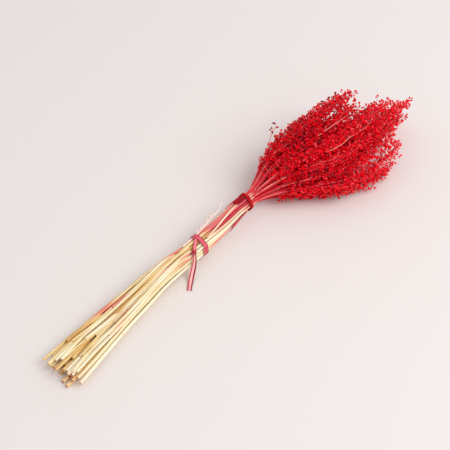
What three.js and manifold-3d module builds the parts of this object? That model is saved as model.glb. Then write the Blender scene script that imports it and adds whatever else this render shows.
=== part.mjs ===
// A tied bunch of dried millet, dyed red, lying on a table. Sizes are in millimetres and +Z is up.
// +X runs along the bunch, from the cut ends of the straw to the tips of the seed heads.
import * as THREE from 'three';
import { mergeVertices } from 'three/addons/utils/BufferGeometryUtils.js';
import Module from 'manifold-3d';

const wasm = await Module();
wasm.setup();

// How the bunch is laid out along its length. Each row gives the distance from the cut ends, then there:
// the spacing of the stalks across (Y) and up (Z), the Y of the bunch's middle, the lift of its underside
// above where it lies flat, the twist of the whole bunch in degrees, and the radius of one stalk.
const SPACING_Y = 1;
const SPACING_Z = 2;
const MIDDLE_Y = 3;
const LIFT = 4;
const TWIST = 5;
const RADIUS = 6;
const LAYOUT = [
  [0, 8.5, 2.5, -27, 0, 0, 2.0],
  [45, 7.4, 2.8, -21, 0, 0, 1.93],
  [100, 5.8, 3.25, -15, 1.2, 0, 1.84],
  [140, 4.3, 4.2, -13, 2.4, 0, 1.76],
  [172, 3.65, 3.65, -12, 4.6, 10, 1.65],
  [204, 3.5, 3.5, -11, 7.8, 22, 1.58],
  [236, 3.15, 3.15, -9, 10.8, 42, 1.42],
  [262, 2.95, 2.95, -6.5, 13, 55, 1.31],
  [283, 2.95, 2.95, -6, 14, 61, 1.3],
  [296, 4.8, 4.4, -7, 13.7, 61, 1.2],
  [314, 8.6, 7.4, -10, 12.4, 61, 1.1],
  [336, 14.2, 10.6, -17, 11, 61, 1.05],
  [360, 18.8, 12.8, -25.5, 9.6, 61, 1],
  [400, 21, 14, -29.5, 10.4, 61, 0.95],
  [455, 19.8, 13.6, -29, 11.6, 61, 0.85],
  [520, 15.2, 10.5, -28, 17, 61, 0.75],
];

// The stalks are packed as circles in rows, each row half a step off the next.
const STALKS_IN_ROW = [4, 5, 6, 5, 4];
const ROW_STEP = Math.sqrt(3) / 2;
const BOTTOM_ROW = -2 * ROW_STEP;

// The ties, by their distance from the cut ends.
const LOWER_TIE = 195;
const NECK_TIE = 273;

// What touches keeps this clearance.
const GAP = 0.3;

// Where solids are joined, corners closer than the first are one, and slivers thinner than the second go.
const MERGE_WITHIN = 0.001;
const SLIVERS_UNDER = 0.02;

// The straw. It is cut off ragged and a little aslant, so each piece starts at its own distance.
const STRAW_SIDES = 6;
const STRAW_SHORTEST = 12;
const STRAW_LONGEST = -4;
const CUT_SLANT = 0.8;
const STRAW_THINNEST = 0.86;
const STRAW_STATIONS = [45, 95, 140, 172, 204, 238];

// The seed heads. A head fills its own cell round its stalk, as a share of the stalks' spacing.
const CELL = 0.482;
const HEAD_STALK_SIDES = 4;
const HEAD_STATIONS = [285, 297, 314, 342, 386, 440];
const HEAD_BRANCHES = 6;
const BRANCH_LONGEST = 46;
const BRANCH_SHORTEST = 32;
const BRANCH_SIDES = 4;
const BRANCH_RINGS = 7;
const BRANCH_ROOT = 0.75;
const BRANCH_SHARE_OF_HEAD = 0.62;
const BRANCH_BEFORE_GRAINS = 8;
const SHORT_HEAD = 90;
const SHORT_HEAD_BRANCHES = 4;
const STALK_END_BEFORE_TIP = 24;
const STATION_CLEAR = 12;

// The lowest grains settle on the table under the bunch's weight: what would lie lower than this height
// is pressed together above it.
const SETTLES_BELOW = 3;

// A branch's grains, as shares of the cell: how far off the stalk their middle lies, and how far the
// grains and the dips between them reach from it outwards and, in radians, round the stalk.
const GRAINS_OFF = 0.6;
const PEAK_OUT = 0.4;
const DIP_OUT = 0.17;
const PEAK_ROUND = 1.1;
const DIP_ROUND = 0.5;
const TIP_PEAK = 0.72;
const TIP_DIP = 0.36;
const GRAIN_LEAN = 1.5;

// How a branch runs from its root (0) to its end (1): it leaves the stalk, and its grains swell and taper.
const LEAVES_AT = 0.5;
const LEAVES_BY = 1.6;
const FULL_AT_ROOT = 0.3;
const SWELLS_BY = 2.2;
const FULL_AT_END = 0.42;
const TAPERS_BY = 2.6;
const GOLDEN_ANGLE = THREE.MathUtils.degToRad(137.5);
const FIRST_GRAINS = 26;
const FIRST_GRAINS_VARY = 14;

// The outline of the tips as it shows from a viewer who looks down at the bunch's right-hand side at 45
// degrees. Each row gives a place across the bunch and how far the tips there seem to reach, both as
// they fall on the table. A point at height z seems to lie VIEW_ALONG * z further along and
// VIEW_ACROSS * z further across.
const TIP_OUTLINE = [
  [-78, 440], [-64, 478], [-50, 500], [-36, 500], [-20, 542], [-2, 526], [15, 493], [24, 489], [42, 509], [68, 482],
];
const VIEW_ALONG = 0.728;
const VIEW_ACROSS = 0.686;
const TIP_FURTHEST = 516;
const TIP_VARIES = 12;
const TIP_GUESS = 460;
const TIP_ROUNDS = 3;

// Some heads at the right bend aside, so the tips gather in plumes with notches between them, and the two
// lowest droop to the table. Each gives where its tip is and how far it is moved there.
const DROOP_FROM = 330;
const DROOPS = {
  9: { tip: 369, across: -6, up: 1 },
  15: { tip: 446, across: -14, up: -9 },
  16: { tip: 490, across: 5, up: 3 },
  20: { tip: 465, across: 1, up: -1 },
  21: { tip: 463, across: -3, up: -1 },
};
const UPRIGHT = { across: 0, up: 0 };

const DYED = new THREE.MeshStandardMaterial({ color: 0xc4121c, roughness: 0.75, metalness: 0 });
const STRAW = new THREE.MeshStandardMaterial({ color: 0xf0dcaa, roughness: 0.55, metalness: 0 });
const RAFFIA = new THREE.MeshStandardMaterial({ color: 0xd8404c, roughness: 0.6, metalness: 0 });
const TWINE = new THREE.MeshStandardMaterial({ color: 0xa80a12, roughness: 0.8, metalness: 0 });
const PALE = new THREE.MeshStandardMaterial({ color: 0xf6d8c8, roughness: 0.6, metalness: 0 });
const SHEATH = new THREE.MeshStandardMaterial({ color: 0x9c1420, roughness: 0.6, metalness: 0 });

// The value of one column of a table at the distance s: a smooth curve through the rows, with no overshoot.
function along(table, column, s) {
  const last = table.length - 1;
  const rise = (j) => (table[j + 1][column] - table[j][column]) / (table[j + 1][0] - table[j][0]);
  const slope = (j) => {
    if (j === 0) return rise(0);
    if (j === last) return rise(last - 1);
    const before = rise(j - 1);
    const after = rise(j);
    return before * after <= 0 ? 0 : (2 * before * after) / (before + after);
  };
  let i = 0;
  while (i < last - 1 && s > table[i + 1][0]) i += 1;
  const width = table[i + 1][0] - table[i][0];
  const t = THREE.MathUtils.clamp((s - table[i][0]) / width, 0, 1);
  const ease = t * t * (3 - 2 * t);
  return table[i][column] * (1 - ease) + table[i + 1][column] * ease
    + width * t * (1 - t) * ((1 - t) * slope(i) - t * slope(i + 1));
}

// A repeatable number from 0 to 1, for the item n of stalk k.
function chance(k, n) {
  const x = Math.sin(k * 12.9898 + n * 78.233) * 43758.5453;
  return x - Math.floor(x);
}

// The point of the bunch at the distance s whose place among the stalks, in spacings, is (across, up).
function place(s, across, up) {
  const twist = THREE.MathUtils.degToRad(along(LAYOUT, TWIST, s));
  const turnedAcross = across * Math.cos(twist) - up * Math.sin(twist);
  const turnedUp = across * Math.sin(twist) + up * Math.cos(twist);
  const spacingZ = along(LAYOUT, SPACING_Z, s);
  const underside = along(LAYOUT, LIFT, s) + ROW_STEP * along(LAYOUT, RADIUS, s);
  return new THREE.Vector3(
    s,
    along(LAYOUT, MIDDLE_Y, s) + along(LAYOUT, SPACING_Y, s) * turnedAcross,
    underside + spacingZ * (turnedUp - BOTTOM_ROW),
  );
}

// A closed skin over rings of points. Neighbouring rings are joined by quads, each split along the
// diagonal that leaves every second point standing up as a peak. An open row of rings gets end caps.
function skin(rings, closed = false) {
  const sides = rings[0].length;
  const points = rings.flat();
  const index = [];
  const joins = closed ? rings.length : rings.length - 1;
  for (let i = 0; i < joins; i += 1) {
    for (let j = 0; j < sides; j += 1) {
      const a = i * sides + j;
      const b = i * sides + (j + 1) % sides;
      const next = (i + 1) % rings.length;
      const c = next * sides + (j + 1) % sides;
      const d = next * sides + j;
      if ((i + j) % 2 === 0) index.push(a, b, d, b, c, d);
      else index.push(a, b, c, a, c, d);
    }
  }
  if (!closed) {
    const middle = (ring) => ring.reduce((sum, p) => sum.add(p), new THREE.Vector3()).divideScalar(sides);
    const start = points.push(middle(rings[0])) - 1;
    const end = points.push(middle(rings[rings.length - 1])) - 1;
    const lastRing = (rings.length - 1) * sides;
    for (let j = 0; j < sides; j += 1) {
      const k = (j + 1) % sides;
      index.push(start, k, j, end, lastRing + j, lastRing + k);
    }
  }
  const geometry = new THREE.BufferGeometry().setFromPoints(points);
  geometry.setIndex(index);
  return geometry;
}

// A ring of points in the YZ plane round a centre.
function circle(centre, radius, sides, lean = 0) {
  return Array.from({ length: sides }, (_, j) => {
    const angle = (2 * Math.PI * j) / sides;
    return new THREE.Vector3(
      centre.x + lean * Math.cos(angle),
      centre.y + radius * Math.cos(angle),
      centre.z + radius * Math.sin(angle),
    );
  });
}

// A closed geometry as a solid.
function solidOf(geometry) {
  const bare = geometry.clone();
  bare.deleteAttribute('normal');
  bare.deleteAttribute('uv');
  const merged = mergeVertices(bare, MERGE_WITHIN);
  return new wasm.Manifold(new wasm.Mesh({
    numProp: 3,
    vertProperties: new Float32Array(merged.attributes.position.array),
    triVerts: new Uint32Array(merged.index.array),
  }));
}

// A solid's geometry. A hollow that is sealed inside is an inside-out shell of its own, and is left out,
// which fills it.
function filled(solid) {
  const mesh = wasm.Manifold.compose(solid.decompose().filter((shell) => shell.volume() > 0)).getMesh();
  const geometry = new THREE.BufferGeometry();
  geometry.setAttribute('position', new THREE.BufferAttribute(mesh.vertProperties, 3));
  geometry.setIndex(new THREE.BufferAttribute(mesh.triVerts, 1));
  return geometry;
}

// Joins closed geometries into one. The second pass finds hollows that only a shared corner opened.
function fuse(geometries) {
  const sum = geometries.map(solidOf).reduce((all, solid) => all.add(solid));
  return filled(solidOf(filled(sum)).simplify(SLIVERS_UNDER));
}

// Where each stalk stands among the others.
const sites = STALKS_IN_ROW.flatMap((count, row) => Array.from({ length: count }, (_, i) => ({
  across: i - (count - 1) / 2,
  up: BOTTOM_ROW + row * ROW_STEP,
  bottom: row === 0,
})));

const bunch = new THREE.Group();

function add(name, geometry, material) {
  const mesh = new THREE.Mesh(geometry, material);
  mesh.name = name;
  bunch.add(mesh);
}

const number = (k) => String(k + 1).padStart(2, '0');

// Straw: the bare lower stalk, cut off ragged at one end and running under both ties. The bottom row
// lies flat on the table near its cut ends.
function straw(site, k) {
  const thickness = site.bottom ? 1 : STRAW_THINNEST + (1 - STRAW_THINNEST) * chance(k, 1);
  const cut = THREE.MathUtils.lerp(STRAW_LONGEST, STRAW_SHORTEST, chance(k, 2));
  const slant = CUT_SLANT * (2 * chance(k, 3) - 1);
  const stations = [cut, ...STRAW_STATIONS, NECK_TIE - GAP / 2];
  return skin(stations.map((s, i) => circle(
    place(s, site.across, site.up),
    thickness * along(LAYOUT, RADIUS, s),
    STRAW_SIDES,
    i === 0 ? slant : 0,
  )));
}

// The distance that the tip of head k reaches.
function tipOf(site, k) {
  if (DROOPS[k]) return DROOPS[k].tip;
  let tip = TIP_GUESS;
  for (let i = 0; i < TIP_ROUNDS; i += 1) {
    const p = place(tip, site.across, site.up);
    const seems = along(TIP_OUTLINE, 1, p.y + VIEW_ACROSS * p.z);
    tip = Math.min(TIP_FURTHEST, seems - VIEW_ALONG * p.z);
  }
  return tip + TIP_VARIES * (chance(k, 4) - 0.5);
}

// A seed head: the dyed top of the stalk with branches that leave it in a spiral and lean forward, each
// carrying its grains as knobs. Everything stays in the head's own cell among the stalks.
function head(site, k) {
  const tip = tipOf(site, k);
  const first = NECK_TIE + FIRST_GRAINS + FIRST_GRAINS_VARY * chance(k, 5);
  const room = tip - first;
  const stalkEnd = tip - STALK_END_BEFORE_TIP;
  const between = HEAD_STATIONS.filter((s) => s < stalkEnd - STATION_CLEAR);
  const stations = [NECK_TIE + GAP / 2, ...between, stalkEnd];
  const { across, up } = DROOPS[k] ?? UPRIGHT;
  const drooped = (point) => {
    const share = THREE.MathUtils.smoothstep(point.x, DROOP_FROM, tip);
    return point.add(new THREE.Vector3(0, across * share, up * share));
  };
  const stops = stations.map((s) => drooped(place(s, site.across, site.up)));
  const stalk = skin(stops.map((p) => circle(p, along(LAYOUT, RADIUS, p.x), HEAD_STALK_SIDES)));

  // The middle of the stalk at the distance s, on the straight stretch between two stations.
  const onStalk = (s) => {
    const i = Math.min(stops.length - 2, Math.max(0, stations.findIndex((stop) => stop > s) - 1));
    return stops[i].clone().lerp(stops[i + 1], (s - stations[i]) / (stations[i + 1] - stations[i]));
  };

  // A point of the cell, off the stalk by the share `off` towards `angle`.
  const inCell = (s, off, angle) => {
    const reach = CELL * Math.min(1, off);
    const cell = place(s, site.across + reach * Math.cos(angle), site.up + reach * Math.sin(angle));
    const point = drooped(cell);
    if (point.z < SETTLES_BELOW) point.z = SETTLES_BELOW * Math.exp(point.z / SETTLES_BELOW - 1);
    return point;
  };

  const count = room < SHORT_HEAD ? SHORT_HEAD_BRANCHES : HEAD_BRANCHES;
  const branches = Array.from({ length: count }, (_, b) => {
    const share = b / (count - 1);
    const usual = THREE.MathUtils.lerp(BRANCH_LONGEST, BRANCH_SHORTEST, share);
    const length = Math.min(usual, BRANCH_SHARE_OF_HEAD * room);
    const start = THREE.MathUtils.lerp(first - BRANCH_BEFORE_GRAINS, tip - length, share);
    const atTip = b === count - 1;
    const angle = b * GOLDEN_ANGLE + 2 * Math.PI * chance(k, 6);
    const rings = Array.from({ length: BRANCH_RINGS }, (_, i) => {
      const t = i / (BRANCH_RINGS - 1);
      const s = start + t * length;
      if (i === 0) return circle(onStalk(s), BRANCH_ROOT, BRANCH_SIDES);
      const off = GRAINS_OFF * Math.min(1, LEAVES_AT + LEAVES_BY * t) * (0.9 + 0.1 * chance(k, 10 + b));
      const fullness = Math.min(1, FULL_AT_ROOT + SWELLS_BY * t)
        * Math.min(1, FULL_AT_END + TAPERS_BY * (1 - t));
      return Array.from({ length: BRANCH_SIDES }, (__, j) => {
        const peak = (i + j) % 2 === 0;
        const turn = (2 * Math.PI * (j + 0.5)) / BRANCH_SIDES;
        const ahead = s + (peak ? GRAIN_LEAN : 0);
        if (atTip) return inCell(ahead, fullness * (peak ? TIP_PEAK : TIP_DIP), turn);
        const out = fullness * (peak ? PEAK_OUT : DIP_OUT);
        const round = fullness * (peak ? PEAK_ROUND : DIP_ROUND);
        return inCell(ahead, off + out * Math.SQRT2 * Math.cos(turn), angle + round * Math.sin(turn));
      });
    });
    return skin(rings);
  });
  return fuse([stalk, ...branches]);
}

// A stripped side shoot, pale and bare, tucked under the lower tie: its stubs stand up like the teeth of
// a comb and its tip curls over.
const SHOOT_START = 180;
const SHOOT_END = 238;
const SHOOT_RADIUS = 0.8;
const SHOOT_SIDE = THREE.MathUtils.degToRad(47);
const SHOOT_RISE = 3.4;
const SHOOT_STATIONS = [SHOOT_START, 190, 201, 210, 219, 228, 234, SHOOT_END];
const SHOOT_TIP_RADIUS = 0.65;
const SHOOT_STUBS = 7;
const STUBS_FROM = 203;
const STUBS_TO = 233;
const STUB_RADII = [0.75, 0.5];
const STUB_AHEAD = 3;
const STUB_UP = 4.4;
const STUB_TURNS = [-0.3, 0.4];
const CURL_RADII = [0.7, 0.575, 0.45];
const CURL_SIZE = [10, 4, 6];

// How far the bunch reaches towards a direction in the YZ plane, measured from the origin.
function reachTowards(s, angle, withShoot = false) {
  const radius = along(LAYOUT, RADIUS, s);
  const toward = (p) => p.y * Math.cos(angle) + p.z * Math.sin(angle);
  let reach = Math.max(...sites.map((site) => toward(place(s, site.across, site.up)) + radius));
  if (withShoot) reach = Math.max(reach, toward(shootMiddle(s)) + SHOOT_RADIUS);
  return reach;
}

function shootMiddle(s) {
  const middle = place(s, 0, 0);
  const toward = middle.y * Math.cos(SHOOT_SIDE) + middle.z * Math.sin(SHOOT_SIDE);
  const clear = reachTowards(s, SHOOT_SIDE) - toward + GAP + SHOOT_RADIUS;
  const off = clear + SHOOT_RISE * THREE.MathUtils.smoothstep(s, LOWER_TIE + 6, SHOOT_END);
  return new THREE.Vector3(s, middle.y + off * Math.cos(SHOOT_SIDE), middle.z + off * Math.sin(SHOOT_SIDE));
}

function shoot() {
  const stem = skin(SHOOT_STATIONS.map((s) => {
    const radius = s < SHOOT_END - 10 ? SHOOT_RADIUS : SHOOT_TIP_RADIUS;
    return circle(shootMiddle(s), radius, 4);
  }));
  const stubs = Array.from({ length: SHOOT_STUBS }, (_, i) => {
    const s = THREE.MathUtils.lerp(STUBS_FROM, STUBS_TO, i / SHOOT_STUBS);
    const root = shootMiddle(s);
    const angle = SHOOT_SIDE + STUB_TURNS[i % 2];
    return skin(STUB_RADII.map((radius, t) => circle(new THREE.Vector3(
      s + STUB_AHEAD * t,
      root.y + STUB_UP * t * Math.cos(angle),
      root.z + STUB_UP * t * Math.sin(angle),
    ), radius, 4)));
  });
  const end = shootMiddle(SHOOT_END);
  const curl = skin(CURL_RADII.map((radius, i) => {
    const t = i / (CURL_RADII.length - 1);
    return circle(new THREE.Vector3(
      SHOOT_END - 1 + CURL_SIZE[0] * t,
      end.y + CURL_SIZE[1] * t * t,
      end.z + CURL_SIZE[2] * t,
    ), radius, 4);
  }));
  return fuse([stem, ...stubs, curl]);
}

// The point where lines laid against the bunch from two neighbouring directions meet, moved out.
function outline(s, angle, step, out, withShoot = false) {
  const before = angle - step / 2;
  const after = angle + step / 2;
  const a = reachTowards(s, before, withShoot) + out;
  const b = reachTowards(s, after, withShoot) + out;
  const spread = Math.sin(after - before);
  return new THREE.Vector2(
    (a * Math.sin(after) - b * Math.sin(before)) / spread,
    (b * Math.cos(before) - a * Math.cos(after)) / spread,
  );
}

// A band wound round the bunch. Its section is a list of [along the bunch, outwards] points that starts
// at the inner edge nearest the tips and goes round by the outside.
function band(s, section, directions, slant = () => 0, withShoot = false) {
  const step = (2 * Math.PI) / directions;
  return skin(Array.from({ length: directions }, (_, i) => {
    const angle = i * step;
    return section.map(([dx, out]) => {
      const p = outline(s + slant(angle), angle, step, GAP + out, withShoot);
      return new THREE.Vector3(s + slant(angle) + dx, p.x, p.y);
    });
  }), true);
}

// The neck tie: dark red twine, wound three times.
const TIE_DIRECTIONS = 16;
const TWINE_THICK = 1.5;
const TURN_APART = 1.7;
const TWINE_SECTION = [
  [1.5 * TURN_APART, 0], [TURN_APART, TWINE_THICK], [0.5 * TURN_APART, 0.5 * TWINE_THICK], [0, TWINE_THICK],
  [-0.5 * TURN_APART, 0.5 * TWINE_THICK], [-TURN_APART, TWINE_THICK], [-1.5 * TURN_APART, 0],
];

// The lower tie: a strip of raffia passed round twice and knotted on the side that faces the viewer.
const RAFFIA_WIDE = 3.2;
const RAFFIA_THICK = 1.1;
const RAFFIA_SHOULDER = 0.85 * RAFFIA_THICK;
const RAFFIA_SECTION = [
  [0.5 * RAFFIA_WIDE, 0], [0.4 * RAFFIA_WIDE, RAFFIA_SHOULDER], [0, RAFFIA_THICK],
  [-0.4 * RAFFIA_WIDE, RAFFIA_SHOULDER], [-0.5 * RAFFIA_WIDE, 0],
];
const TURNS_BESIDE = 1.5;
const KNOT_SIDE = THREE.MathUtils.degToRad(105);
const KNOT_BACK = 14;
const SLANT_SHARPNESS = 8;
const KNOT_RADII = [3, 3.2, 2];
const KNOT_CLEAR = 0.2;

function knotMiddle() {
  const s = LOWER_TIE - KNOT_BACK;
  const p = outline(s, KNOT_SIDE, 0.2, GAP + KNOT_RADII[2] + KNOT_CLEAR);
  return new THREE.Vector3(s, p.x, p.y);
}

function lowerTie() {
  const straight = band(LOWER_TIE + TURNS_BESIDE, RAFFIA_SECTION, TIE_DIRECTIONS, () => 0, true);
  const towardsKnot = (angle) => -KNOT_BACK * Math.max(0, Math.cos(angle - KNOT_SIDE)) ** SLANT_SHARPNESS;
  const slanted = band(LOWER_TIE, RAFFIA_SECTION, TIE_DIRECTIONS, towardsKnot, true);
  const knot = new THREE.IcosahedronGeometry(1, 0);
  knot.scale(...KNOT_RADII);
  knot.rotateX(KNOT_SIDE - Math.PI / 2);
  knot.translate(...knotMiddle());
  return fuse([straight, slanted, knot]);
}

// The raffia's loose end: it leaves the knot, drops over the side and lies on the table.
const TAIL_WIDE = 5;
const TAIL_THICK = 0.9;
const TAIL_SIDES = 8;
const TAIL_STEPS = 14;
const TAIL_ROUTE = [
  [180.55, -20, 22.45], [179.4, -22, 20.3], [178.3, -23.2, 18.2], [176.8, -24.2, 15.8], [175, -25.2, 13],
  [172.8, -26.2, 9.8], [170.4, -27.3, 6.9], [167.9, -28.6, 4.4], [165.4, -30.1, 2.4], [162.8, -31.9, 1.2],
  [160.2, -33.8, 0.7], [157.5, -35.9, 0.65], [154.9, -38, 0.65],
];

const OVER_THE_SIDE = new THREE.Vector3(0.83, -0.55, 0);

function tail() {
  const route = new THREE.CatmullRomCurve3(TAIL_ROUTE.map((p) => new THREE.Vector3(...p)));
  return skin(Array.from({ length: TAIL_STEPS + 1 }, (_, i) => {
    const centre = route.getPointAt(i / TAIL_STEPS);
    const ahead = route.getTangentAt(i / TAIL_STEPS);
    const side = OVER_THE_SIDE.clone().cross(ahead).cross(ahead).normalize();
    const up = ahead.clone().cross(side);
    return Array.from({ length: TAIL_SIDES }, (__, j) => {
      const angle = (2 * Math.PI * (j + 0.5)) / TAIL_SIDES;
      return centre.clone()
        .addScaledVector(side, 0.5 * TAIL_WIDE * Math.cos(angle))
        .addScaledVector(up, 0.5 * TAIL_THICK * Math.sin(angle));
    });
  }));
}

// A dry leaf sheath laid against the bunch, from a box bent round the outline. It comes out from under
// the neck tie at its full spread, narrows to SHEATH_NARROW of it, and its tip stands off by its bulge.
const SHEATH_CLEAR = 0.4;
const SHEATH_THICK = 0.8;
const SHEATH_NARROW = 0.25;
const SHEATH_LEFT = { from: 245, to: 269, side: THREE.MathUtils.degToRad(62), spread: 1.3, bulge: 1.8 };
const SHEATH_RIGHT = { from: 234, to: 265, side: THREE.MathUtils.degToRad(196), spread: 0.8, bulge: 0.8 };

function sheath({ from, to, side, spread, bulge }) {
  const shape = new THREE.BoxGeometry(1, 1, 1, 4, 4, 1);
  const position = shape.attributes.position;
  for (let i = 0; i < position.count; i += 1) {
    const t = position.getX(i) + 0.5;
    const s = THREE.MathUtils.lerp(from, to, t);
    const width = SHEATH_NARROW + (1 - SHEATH_NARROW) * Math.sin(0.5 * Math.PI * t);
    const angle = side - position.getY(i) * spread * width;
    const out = GAP + SHEATH_THICK * (position.getZ(i) + 0.5) + bulge * (1 - t);
    const p = outline(s, angle, 0.25, out + SHEATH_CLEAR);
    position.setXYZ(i, s, p.x, p.y);
  }
  return shape;
}

sites.forEach((site, k) => add(`straw_${number(k)}`, straw(site, k), STRAW));
sites.forEach((site, k) => add(`head_${number(k)}`, head(site, k), DYED));
add('neck_tie', band(NECK_TIE, TWINE_SECTION, TIE_DIRECTIONS), TWINE);
add('lower_tie', lowerTie(), RAFFIA);
add('tie_tail', tail(), RAFFIA);
add('bare_shoot', shoot(), PALE);
add('sheath_left', sheath(SHEATH_LEFT), SHEATH);
add('sheath_right', sheath(SHEATH_RIGHT), SHEATH);

// The origin is under the middle of the bunch, on the table. The loose end doesn't count in its box.
const extent = new THREE.Box3();
const counted = bunch.children.filter((mesh) => mesh.name !== 'tie_tail');
counted.forEach((mesh) => extent.expandByObject(mesh, true));
const middle = extent.getCenter(new THREE.Vector3());
bunch.position.set(-middle.x, -middle.y, -extent.min.z);

const part = new THREE.Group();
part.add(bunch);
export default part;
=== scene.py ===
import math

import bpy
import numpy as np
from mathutils import Matrix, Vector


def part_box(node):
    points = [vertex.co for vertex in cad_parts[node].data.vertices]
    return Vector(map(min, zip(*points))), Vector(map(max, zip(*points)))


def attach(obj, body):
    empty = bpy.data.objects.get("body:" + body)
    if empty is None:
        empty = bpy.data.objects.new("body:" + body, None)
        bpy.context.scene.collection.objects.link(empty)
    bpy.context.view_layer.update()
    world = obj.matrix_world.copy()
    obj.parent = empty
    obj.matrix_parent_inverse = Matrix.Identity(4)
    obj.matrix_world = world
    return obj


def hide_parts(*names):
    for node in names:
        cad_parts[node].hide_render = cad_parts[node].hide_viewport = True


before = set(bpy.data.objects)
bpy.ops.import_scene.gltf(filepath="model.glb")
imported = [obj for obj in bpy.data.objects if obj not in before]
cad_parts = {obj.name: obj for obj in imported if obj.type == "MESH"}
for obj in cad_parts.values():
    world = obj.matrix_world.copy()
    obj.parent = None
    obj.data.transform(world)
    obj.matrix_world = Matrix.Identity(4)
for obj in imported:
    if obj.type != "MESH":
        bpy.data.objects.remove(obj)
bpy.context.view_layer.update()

# The straw: 24 stalks of millet, dried pale gold, bare of leaves and cut off ragged with shears. They are
# packed like circles in rows, each row half a step off the next, and both ties go round them. Sizes are
# in millimetres, by the distance from the cut ends, and turn to metres when a mesh is made.
SPACING_Y, SPACING_Z, MIDDLE_Y, LIFT, TWIST, RADIUS = range(1, 7)
# Each row: the distance, the stalks' spacing across and up, where their middle is across, how high the
# lowest of them lies, their twist in degrees and their radius.
LAYOUT = np.array([
    (0, 8.5, 2.5, -27, 0, 0, 2.0),
    (45, 7.4, 2.8, -21, 0, 0, 1.93),
    (100, 5.8, 3.25, -15, 1.2, 0, 1.84),
    (140, 4.3, 4.2, -13, 2.4, 0, 1.76),
    (172, 3.65, 3.65, -12, 4.6, 10, 1.65),
    (204, 3.5, 3.5, -11, 7.8, 22, 1.58),
    (236, 3.15, 3.15, -9, 10.8, 42, 1.42),
    (262, 2.95, 2.95, -6.5, 13, 55, 1.31),
    (283, 2.95, 2.95, -6, 14, 61, 1.3),
    (296, 4.8, 4.4, -7, 13.7, 61, 1.2),
    (314, 8.6, 7.4, -10, 12.4, 61, 1.1),
    (336, 14.2, 10.6, -17, 11, 61, 1.05),
    (360, 18.8, 12.8, -25.5, 9.6, 61, 1),
    (400, 21, 14, -29.5, 10.4, 61, 0.95),
    (455, 19.8, 13.6, -29, 11.6, 61, 0.85),
    (520, 15.2, 10.5, -28, 17, 61, 0.75),
])
STALKS_IN_ROW = (4, 5, 6, 5, 4)
ROW_STEP = math.sqrt(3) / 2
BOTTOM_ROW = -2 * ROW_STEP
NECK_TIE = 273
MM_PER_M = 1000


def along(table, column, s):
    """The value of a column of a table at the distances s: a smooth curve through the rows."""
    stops, values = table[:, 0], table[:, column]
    rise = np.diff(values) / np.diff(stops)
    before, after = rise[:-1], rise[1:]
    same_way = before * after > 0
    both = np.where(same_way, before + after, 1)
    slope = np.concatenate((rise[:1], np.where(same_way, 2 * before * after / both, 0), rise[-1:]))
    i = np.clip(np.searchsorted(stops, s) - 1, 0, len(stops) - 2)
    width = stops[i + 1] - stops[i]
    t = np.clip((s - stops[i]) / width, 0, 1)
    ease = smooth(t)
    bend = width * t * (1 - t) * ((1 - t) * slope[i] - t * slope[i + 1])
    return values[i] * (1 - ease) + values[i + 1] * ease + bend


def smooth(t):
    """From 0 to 1 with a gentle start and end."""
    return t * t * (3 - 2 * t)


def ramped(value, start, end):
    """0 up to the start, 1 from the end on, and even between them."""
    return np.clip((value - start) / (end - start), 0, 1)


def between(start, end, share):
    """The value that lies the given share of the way from the start to the end."""
    return start + (end - start) * share


def chance(k, n):
    """A repeatable number from 0 to 1, for the item n of stalk k. The CAD draws the same."""
    x = math.sin(k * 12.9898 + n * 78.233) * 43758.5453
    return x - math.floor(x)


def place(s, across, up):
    """The points at the distances s whose places among the stalks, in spacings, are across and up."""
    s, across, up = np.broadcast_arrays(np.asarray(s, float), across, up)
    twist = np.radians(along(LAYOUT, TWIST, s))
    turned_across = across * np.cos(twist) - up * np.sin(twist)
    turned_up = across * np.sin(twist) + up * np.cos(twist)
    y = along(LAYOUT, MIDDLE_Y, s) + along(LAYOUT, SPACING_Y, s) * turned_across
    underside = along(LAYOUT, LIFT, s) + ROW_STEP * along(LAYOUT, RADIUS, s)
    z = underside + along(LAYOUT, SPACING_Z, s) * (turned_up - BOTTOM_ROW)
    return np.stack((s, y, z), axis=-1) + TO_ROW


# The neck tie's middle, and the straw's first stalk, which lies lowest in Y at its cut, show how far the
# CAD moved the bunch to centre it.
tie_low, tie_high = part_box("neck_tie")
cut_low = LAYOUT[0, MIDDLE_Y] - 0.5 * (STALKS_IN_ROW[0] - 1) * LAYOUT[0, SPACING_Y] - LAYOUT[0, RADIUS]
TO_ROW = np.array([
    0.5 * MM_PER_M * (tie_low[0] + tie_high[0]) - NECK_TIE,
    MM_PER_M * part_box("straw_01")[0][1] - cut_low,
    0,
])
SITES = [
    (i - (count - 1) / 2, BOTTOM_ROW + row * ROW_STEP)
    for row, count in enumerate(STALKS_IN_ROW)
    for i in range(count)
]
ACROSS, UP = np.array(SITES).T


def unit(vectors):
    """The vectors at length one."""
    return vectors / np.maximum(np.linalg.norm(vectors, axis=-1, keepdims=True), 1e-9)


def rings_along(paths, radii, sides, reference=(0, 0, 1)):
    """Rings of points round each path. paths is (pieces, stations, 3)."""
    ahead = unit(np.gradient(paths, axis=1))
    side = unit(np.cross(ahead, reference))
    up = np.cross(side, ahead)
    angle = 2 * np.pi * np.arange(sides) / sides
    radii = np.broadcast_to(radii, paths.shape[:2])[:, :, None, None]
    off = side[:, :, None] * np.cos(angle)[:, None] + up[:, :, None] * np.sin(angle)[:, None]
    return paths[:, :, None] + radii * off


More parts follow.
